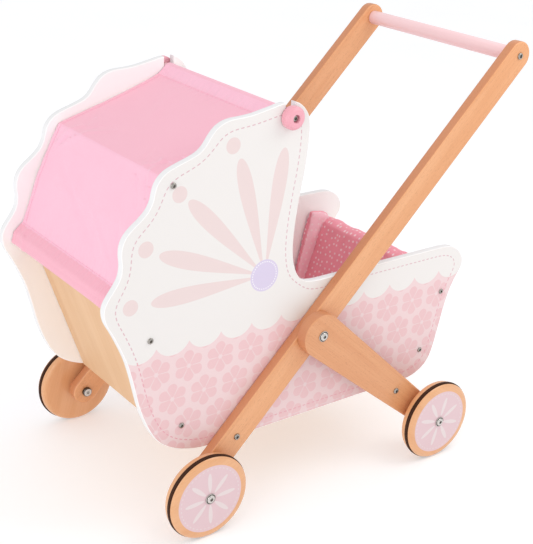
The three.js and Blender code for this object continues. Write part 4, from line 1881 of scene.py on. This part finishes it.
@dataclass
class PushFrame:
    """The long handle bars, the push rod, the short legs and their bolts."""

    screws: ScrewKit
    cabin: Cabin
    front_axle: tuple[float, float] = (3.6, 48.4)
    rear_axle: tuple[float, float] = (344.4, 48.4)
    handle: tuple[float, float] = (455.41, 499.53)
    bar_y: tuple[float, float] = (126.5, 140.0)
    leg_y: tuple[float, float] = (140.4, 155.4)
    rounding: float = 1.9

    def _plank(
        self, side: Side, name: str, outline: np.ndarray, holes: Sequence[tuple[float, float, float]],
        span: tuple[float, float], degrees: float, node: str, finish: Finish,
    ) -> None:
        """Cuts one plank of the frame.

        Args:
            side: the pram's side.
            name: the piece's name without its side.
            outline: the plank's outline.
            holes: x, z and radius of its holes.
            span: where its thickness starts and ends.
            degrees: the slope of its grain.
            node: the CAD node it stands for, without its side.
            finish: the plank's finish.
        """
        low, high = sorted((span[0] * side.value, span[1] * side.value))
        piece = plate(f"{name}_{side.word}", outline, holes, low, high, self.rounding)
        set_grain(piece, degrees, 0.35 * side.value + len(name))
        hand_over(piece, finish, Body.CHASSIS, [f"{node}_{side.word}"])

    def planks(self) -> None:
        """Cuts the bars and the legs."""
        pivot, rear = self.cabin.pivot, self.rear_axle
        bar = plank(self.front_axle, self.handle, 17.5, 17.5)
        axle_hole, pivot_hole, screw_hole = 4.3, 3.4, 2.4
        bar_holes = [
            (*self.front_axle, axle_hole), (*self.cabin.bar_screw, screw_hole), (*pivot, pivot_hole),
            (*self.handle, screw_hole),
        ]
        leg = plank(pivot, rear, 26.5, 17.5)
        leg_holes = [(*pivot, pivot_hole), (*self.cabin.leg_screw, screw_hole), (*rear, axle_hole)]
        slope = math.degrees(math.atan2(rear[1] - pivot[1], rear[0] - pivot[0]))
        for side in Side:
            self._plank(side, "beech_bar", bar, bar_holes, self.bar_y, 45.0, "handle_bar", PLANK_BEECH)
            self._plank(side, "beech_leg", leg, leg_holes, self.leg_y, slope, "rear_leg", LEG_BEECH)

    def rod(self) -> None:
        """Turns the push rod."""
        half, radius = self.bar_y[0] - GAP, 9.0
        section = eased([(0, -half), (radius, -half), (radius, half), (0, half)], 1.0, 3, closed=False)
        rod = turned("push_rod", section, self.handle, 60)
        set_grain(rod, 0.0, 0.6, across=True)
        hand_over(rod, ROD_PINK, Body.CHASSIS, ["handle_rod"])

    def build(self) -> None:
        """Makes the whole push frame."""
        self.planks()
        self.rod()
        y0, y1 = self.cabin.outer + GAP, self.leg_y[0] - GAP
        block = [(2.5, y0), (11, y0), (12, y0 + 1), (12, y1 - 1), (11, y1), (2.5, y1)]
        on_leg, on_bar = self.leg_y[1] + GAP, self.bar_y[1] + GAP
        bolt = through_bolt(self.cabin.inner - GAP, on_leg, 3.1, 5.5)
        for side in Side:
            profile = mirrored_points(block, side)
            piece = turned(f"beech_block_{side.word}", profile, self.cabin.leg_screw, 48)
            set_grain(piece, 15.0, 0.8)
            hand_over(piece, BEECH, Body.CHASSIS, [f"leg_spacer_{side.word}"])
            profile = mirrored_points(bolt, side)
            piece = turned(f"pivot_fastener_{side.word}", profile, self.cabin.pivot, 48, BOLT_SOCKET)
            set_bolt(piece, self.cabin.pivot)
            hand_over(piece, BOLT_NICKEL, Body.CHASSIS, [f"pivot_bolt_{side.word}"])
        places = [(*self.cabin.leg_screw, on_leg), (*self.cabin.bar_screw, on_bar)]
        nodes = [f"{name}_screw_{side.word}" for name in ("leg", "bar") for side in Side]
        self.screws.set_in("frame_screws", places, 1.12, Body.CHASSIS, nodes)
        nodes = [f"rod_screw_{side.word}" for side in Side]
        self.screws.set_in("rod_screws", [(*self.handle, on_bar)], 1.18, Body.CHASSIS, nodes)


# ------------------------------------------------------------------ wheels


@dataclass
class Wheel:
    """One wheel with its rubber ring, spacer and axle bolt."""

    end: str
    side: Side
    axle: tuple[float, float]
    mount: tuple[float, float]
    grain: float
    radius: float = 51.0
    width: float = 18.2
    print_turn: float = 0.0
    bore: float = 4.3
    face: float = 43.0
    ring_radius: float = 52.0
    spacer: float = 6.0
    groove: tuple[float, float] = (8.8, 14.3)
    groove_depth: float = 4.2

    @property
    def name(self) -> str:
        """The wheel's place on the pram."""
        return f"{self.end}_{self.side.word}"

    def _turn(
        self, name: str, profile: Sequence[Sequence[float]], segments: int, hexed: Iterable[int] = ()
    ) -> bpy.types.Object:
        """Turns a piece about the axle, on this wheel's side."""
        return turned(name, mirrored_points(profile, self.side), self.axle, segments, hexed)

    def build(self) -> None:
        """Makes the wheel and what holds it."""
        s0 = self.mount[1] + GAP
        s1 = s0 + self.spacer
        y0 = s1 + GAP
        y1 = y0 + self.width
        g0, g1 = y0 + self.groove[0], y0 + self.groove[1]
        r, floor = self.radius, self.radius - self.groove_depth
        rim = [
            (self.bore, y0), (r - 6.5, y0), (r - 4.6, y0 + 0.25), (r - 2.9, y0 + 1.0),
            (r - 1.6, y0 + 2.1), (r - 0.8, y0 + 3.5), (r - 0.4, y0 + 5.0), (r - 0.4, g0 - 0.5),
            (r - 0.8, g0), (floor, g0), (floor, g1), (r - 0.5, g1), (r - 0.1, g1 + 0.3),
            (r, g1 + 0.9), (r - 0.25, y1 - 2.7), (r - 0.8, y1 - 1.95), (r - 1.6, y1 - 1.3),
            (r - 2.7, y1 - 0.8), (r - 4.1, y1 - 0.4), (r - 5.8, y1 - 0.12), (self.face, y1),
            (self.bore, y1),
        ]
        wheel = self._turn(f"turned_wheel_{self.name}", rim, 96)
        set_grain(wheel, self.grain, self.grain * 0.01)
        p = points_of(wheel.data)
        turn = math.radians(self.print_turn)
        dx, dz = p[:, 0] - self.axle[0], p[:, 2] - self.axle[1]
        c, s = math.cos(turn), math.sin(turn)
        disc = np.column_stack([dx * c + dz * s, dz * c - dx * s, y1 - np.abs(p[:, 1])])
        keep_vector(wheel, "disc", disc)
        body = Body(self.name)
        hand_over(wheel, WHEEL_BEECH, body, [f"{self.end}_wheel_{self.side.word}"])
        t = self.ring_radius
        ring = [
            (floor + 0.3, g0 + 0.3), (t - 1.2, g0 + 0.3), (t - 0.4, g0 + 0.7), (t, g0 + 1.5),
            (t, g1 - 1.5), (t - 0.4, g1 - 0.7), (t - 1.2, g1 - 0.3), (floor + 0.3, g1 - 0.3),
        ]
        tyre = self._turn(f"rubber_ring_{self.name}", ring, 96)
        hand_over(tyre, RUBBER, body, [f"{self.end}_tyre_{self.side.word}"])
        tube = [(self.bore, s0), (7.4, s0), (8, s0 + 0.6), (8, s1 - 0.6), (7.4, s1), (self.bore, s1)]
        spacer = self._turn(f"beech_spacer_{self.name}", tube, 48)
        set_grain(spacer, 0.0, 0.9)
        hand_over(spacer, BEECH, Body.CHASSIS, [f"{self.end}_spacer_{self.side.word}"])
        profile = through_bolt(self.mount[0] - GAP, y1 + GAP, 4.0, 6.0)
        bolt = self._turn(f"axle_fastener_{self.name}", profile, 48, BOLT_SOCKET)
        set_bolt(bolt, self.axle)
        hand_over(bolt, BOLT_NICKEL, Body.CHASSIS, [f"{self.end}_axle_{self.side.word}"])


# ------------------------------------------------------------------ bedding


@dataclass
class Bedding:
    """The mattress and the padded liner over the foot board."""

    cabin: Cabin
    pressure: float = 4.0
    frames: int = 20

    def swell(self, pad: bpy.types.Object, voxel: float, cap: float, limit: Limit) -> bpy.types.Object:
        """Fills a pad by cloth simulation.

        Args:
            pad: the pad, a little small.
            voxel: the size of its cloth's cells.
            cap: how far a point may move.
            limit: keeps points clear of the neighbours.

        Returns:
            The filled pad.
        """
        cells = pad.modifiers.new("cells", "REMESH")
        cells.mode, cells.voxel_size = "VOXEL", voxel * MM
        settle(pad)
        start = points_of(pad.data)
        cloth = pad.modifiers.new("cloth", "CLOTH")
        cloth.settings.use_pressure = True
        cloth.settings.uniform_pressure_force = self.pressure
        cloth.settings.effector_weights.gravity = 0.0
        cloth.point_cache.frame_start, cloth.point_cache.frame_end = 1, self.frames
        scene = bpy.context.scene
        for number in range(1, self.frames + 1):
            scene.frame_set(number)
        filled = settled(pad)
        pad.modifiers.clear()
        scene.frame_set(1)
        moved = points_of(filled) - start
        length = np.linalg.norm(moved, axis=1)
        moved *= (np.minimum(length, cap) / np.maximum(length, 1e-9))[:, None]
        start = start + moved
        bpy.data.meshes.remove(filled)
        move_points(pad.data, limit(start))
        finer = pad.modifiers.new("finer", "SUBSURF")
        finer.levels = finer.render_levels = 1
        settle(pad)
        return pad

    @staticmethod
    def wrinkle(pad: bpy.types.Object, depth: float, size: float, where: Limit) -> None:
        """Adds soft creases along the normals.

        Args:
            pad: the pad.
            depth: how deep they are.
            size: how large they are.
            where: the share of the depth for each point.
        """
        mesh = pad.data
        p = points_of(mesh)
        normals = vectors_of(mesh.vertices, "normal")
        share = where(p)
        seen = [noise.noise(Vector((q[0] / size, q[1] / (size * 0.55), q[2] / size))) for q in p]
        move_points(mesh, p + normals * (np.array(seen) * depth * share)[:, None])

    @staticmethod
    def lay_cloth(pad: bpy.types.Object, degrees: float) -> None:
        """Lays the printed cloth on a pad, face by face.

        Args:
            pad: the pad.
            degrees: slope of the pad in the x-z plane.
        """
        mesh = pad.data
        p = points_of(mesh) * MM
        c, s = math.cos(math.radians(degrees)), math.sin(math.radians(degrees))
        along, aside = p[:, 0] * c + p[:, 2] * s, p[:, 2] * c - p[:, 0] * s
        flats = (
            np.column_stack([p[:, 1], along]),
            np.column_stack([along + 0.3, aside]),
            np.column_stack([p[:, 1], aside + 0.6]),
        )
        layer = mesh.uv_layers.new(name="cloth")
        corners = np.empty(len(mesh.loops), np.int32)
        mesh.loops.foreach_get("vertex_index", corners)
        uv = np.empty((len(mesh.loops), 2), np.float32)
        for face in mesh.polygons:
            n = face.normal
            across, through = abs(n.y), abs(n.z * c - n.x * s)
            choice = 0 if through >= max(across, 0.5) else (1 if across > 0.7 else 2)
            span = slice(face.loop_start, face.loop_start + face.loop_total)
            uv[span] = flats[choice][corners[span]]
        layer.data.foreach_set("uv", uv.ravel())

    def mattress(self) -> None:
        """Makes the mattress."""
        corners = [(14.5, 109.0), (325.5, 109.0), (327, 123), (313, 124.6), (26, 124.6), (14, 122)]
        pad = plate("mattress_pad", eased(corners, 5, 4), [], -107.0, 107.0, 4.0)

        def limit(p: np.ndarray) -> np.ndarray:
            """Keeps the mattress on the floor, between the panels."""
            half = 115.6
            low, high = (11.0, -half, 107.0), (330.0, half, 131.0)
            return np.clip(p, low, high)

        self.swell(pad, 5.0, 5.0, limit)
        self.wrinkle(pad, 1.2, 55.0, lambda p: np.clip((p[:, 2] - 115) / 8, 0, 1))
        self.lay_cloth(pad, 0.0)
        hand_over(smooth(pad, 60.0), DOTTED_COTTON, Body.CHASSIS, ["mattress"])

    def liner(self) -> None:
        """Makes the liner: a pad hooked over the foot board, and a wing along each panel."""
        (fx, fz), (tx, tz) = self.cabin.foot_board
        board = math.atan2(tz - fz, tx - fx)
        c, s = math.cos(board), math.sin(board)
        half, clear = 116.6, self.cabin.board_half + 0.4

        def limit(p: np.ndarray) -> np.ndarray:
            """Keeps the liner off the foot board, the panels and the floor."""
            q = p.copy()
            q[:, 1] = np.clip(q[:, 1], -half, half)
            q[:, 2] = np.maximum(q[:, 2], 108.0)
            along = (q[:, 0] - fx) * c + (q[:, 2] - fz) * s
            depth = (q[:, 2] - fz) * c - (q[:, 0] - fx) * s
            inside = (along < 135.8) & (np.abs(depth) < clear)
            shift = np.where(depth >= 0, clear - depth, -clear - depth) * inside
            q[:, 0] -= shift * s
            q[:, 2] += shift * c
            return q

        section = eased(
            [(331.8, 110.5), (337.6, 110.5), (376.4, 216.8), (379.4, 225.9), (391.2, 222.2), (390.6, 217.6),
             (392.0, 217.2), (393.8, 221.2), (392.2, 225.0), (387.4, 228.0), (381.0, 229.0), (375.4, 227.0),
             (372.6, 223.0)], 1.5, 2,
        )
        pads = [plate("foot_pad", section, [], -113.0, 113.0, 1.2)]
        wing = [
            (327.5, 113.5), (336.0, 113.5), (377.0, 221.0), (386.0, 231.0), (374.0, 237.6),
            (352.0, 241.2), (332.0, 159),
        ]
        for side in Side:
            low, high = sorted((107.0 * side.value, 115.2 * side.value))
            pads.append(plate(f"wing_{side.word}", eased(wing, 4.0, 3), [], low, high, 2.6))
        work = bmesh.new()
        for pad in pads:
            work.from_mesh(pad.data)
        liner = bpy.data.meshes.new("dotted_liner")
        work.to_mesh(liner)
        work.free()
        drop(*pads)
        whole = self.swell(on_bench("dotted_liner", liner), 2.6, 2.2, limit)
        self.wrinkle(whole, 1.8, 24.0, lambda p: np.clip((p[:, 2] - 150) / 60, 0.15, 1.0))
        sunk = points_of(whole.data)
        # A crease on the cabin side, where each wing meets the pad.
        depth = (sunk[:, 2] - fz) * c - (sunk[:, 0] - fx) * s
        crease = 3.4 * np.exp(-(((np.abs(sunk[:, 1]) - 105.5) / 1.7) ** 2)) * (depth > 6.0)
        sunk[:, 0] += crease * s
        sunk[:, 2] -= crease * c
        move_points(whole.data, limit(sunk))
        self.lay_cloth(whole, math.degrees(board))
        hand_over(smooth(whole, 60.0), DOTTED_COTTON, Body.CHASSIS, ["foot_liner"])

    def build(self) -> None:
        """Makes the bedding."""
        self.mattress()
        self.liner()


# ------------------------------------------------------------------ studio


@dataclass
class Studio:
    """Pale floor, soft lights and the camera."""

    eye: tuple[float, float, float] = (-0.79749, -1.05716, 0.79238)
    azimuth: float = -0.652631
    elevation: float = 0.402249
    roll: float = 0.0458445
    lens: float = 75.99

    def camera(self) -> None:
        """Sets up the camera."""
        a, e = self.azimuth, self.elevation
        back = Vector((math.sin(a) * math.cos(e), -math.cos(a) * math.cos(e), math.sin(e)))
        right = (-back).cross(Vector((0, 0, 1))).normalized()
        up = right.cross(-back)
        c, s = math.cos(self.roll), math.sin(self.roll)
        turn = Matrix((c * right + s * up, c * up - s * right, back)).transposed().to_4x4()
        data = bpy.data.cameras.new("studio_camera")
        data.lens, data.sensor_width, data.clip_start = self.lens, 36.0, 0.05
        eye = on_bench("studio_camera", data)
        eye.matrix_world = Matrix.Translation(self.eye) @ turn
        bpy.context.scene.camera = eye

    def floor(self) -> None:
        """Lays the pale floor."""
        half = 30000.0
        corners = [(x * half, y * half, -DATUM[2]) for x, y in ((-1, -1), (1, -1), (1, 1), (-1, 1))]
        floor = mesh_piece("studio_floor", np.array(corners), [(0, 1, 2, 3)], tidy=False)
        floor.data.materials.append(PAPER.material())

    def lights(self) -> None:
        """Hangs the soft lights and lights the room."""
        for name, place, size, power in (
            ("window_left", (-2.4, -0.9, 1.3), 2.0, 16.0),
            ("lamp_high_right", (0.48, -0.5, 0.98), 0.6, 2.2),
        ):
            data = bpy.data.lights.new(name, "AREA")
            data.size, data.energy, data.color = size, power, (1.0, 0.99, 0.98)
            lamp = on_bench(name, data)
            lamp.location = place
            lamp.rotation_euler = (Vector((0, 0, 0.22)) - Vector(place)).to_track_quat("-Z", "Y").to_euler()
        world = bpy.data.worlds.new("bright_room")
        world.use_nodes = True
        world.node_tree.nodes["Background"].inputs["Color"].default_value = (1.0, 1.0, 1.0, 1.0)
        world.node_tree.nodes["Background"].inputs["Strength"].default_value = 0.86
        bpy.context.scene.world = world
        bpy.context.scene.view_settings.view_transform = "Standard"

    def build(self) -> None:
        """Sets up the studio."""
        self.camera()
        self.floor()
        self.lights()


def main() -> None:
    """Builds the pram's look, one sub-assembly after the other."""
    logging.basicConfig(level=logging.INFO, format="%(name)s %(message)s")
    screws = ScrewKit()
    cabin = Cabin(screws)
    cabin.build()
    Hood(screws).build()
    frame_work = PushFrame(screws, cabin)
    frame_work.build()
    looks = iter(((18.0, 2.5), (74.0, 20.0), (141.0, 28.5), (102.0, 11.0)))
    for end, axle, mount in (
        ("front", frame_work.front_axle, frame_work.bar_y),
        ("rear", frame_work.rear_axle, frame_work.leg_y),
    ):
        for side in Side:
            grain, print_turn = next(looks)
            Wheel(end, side, axle, mount, grain, print_turn=print_turn).build()
    Bedding(cabin).build()
    Studio().build()


if __name__ == "__main__":
    main()
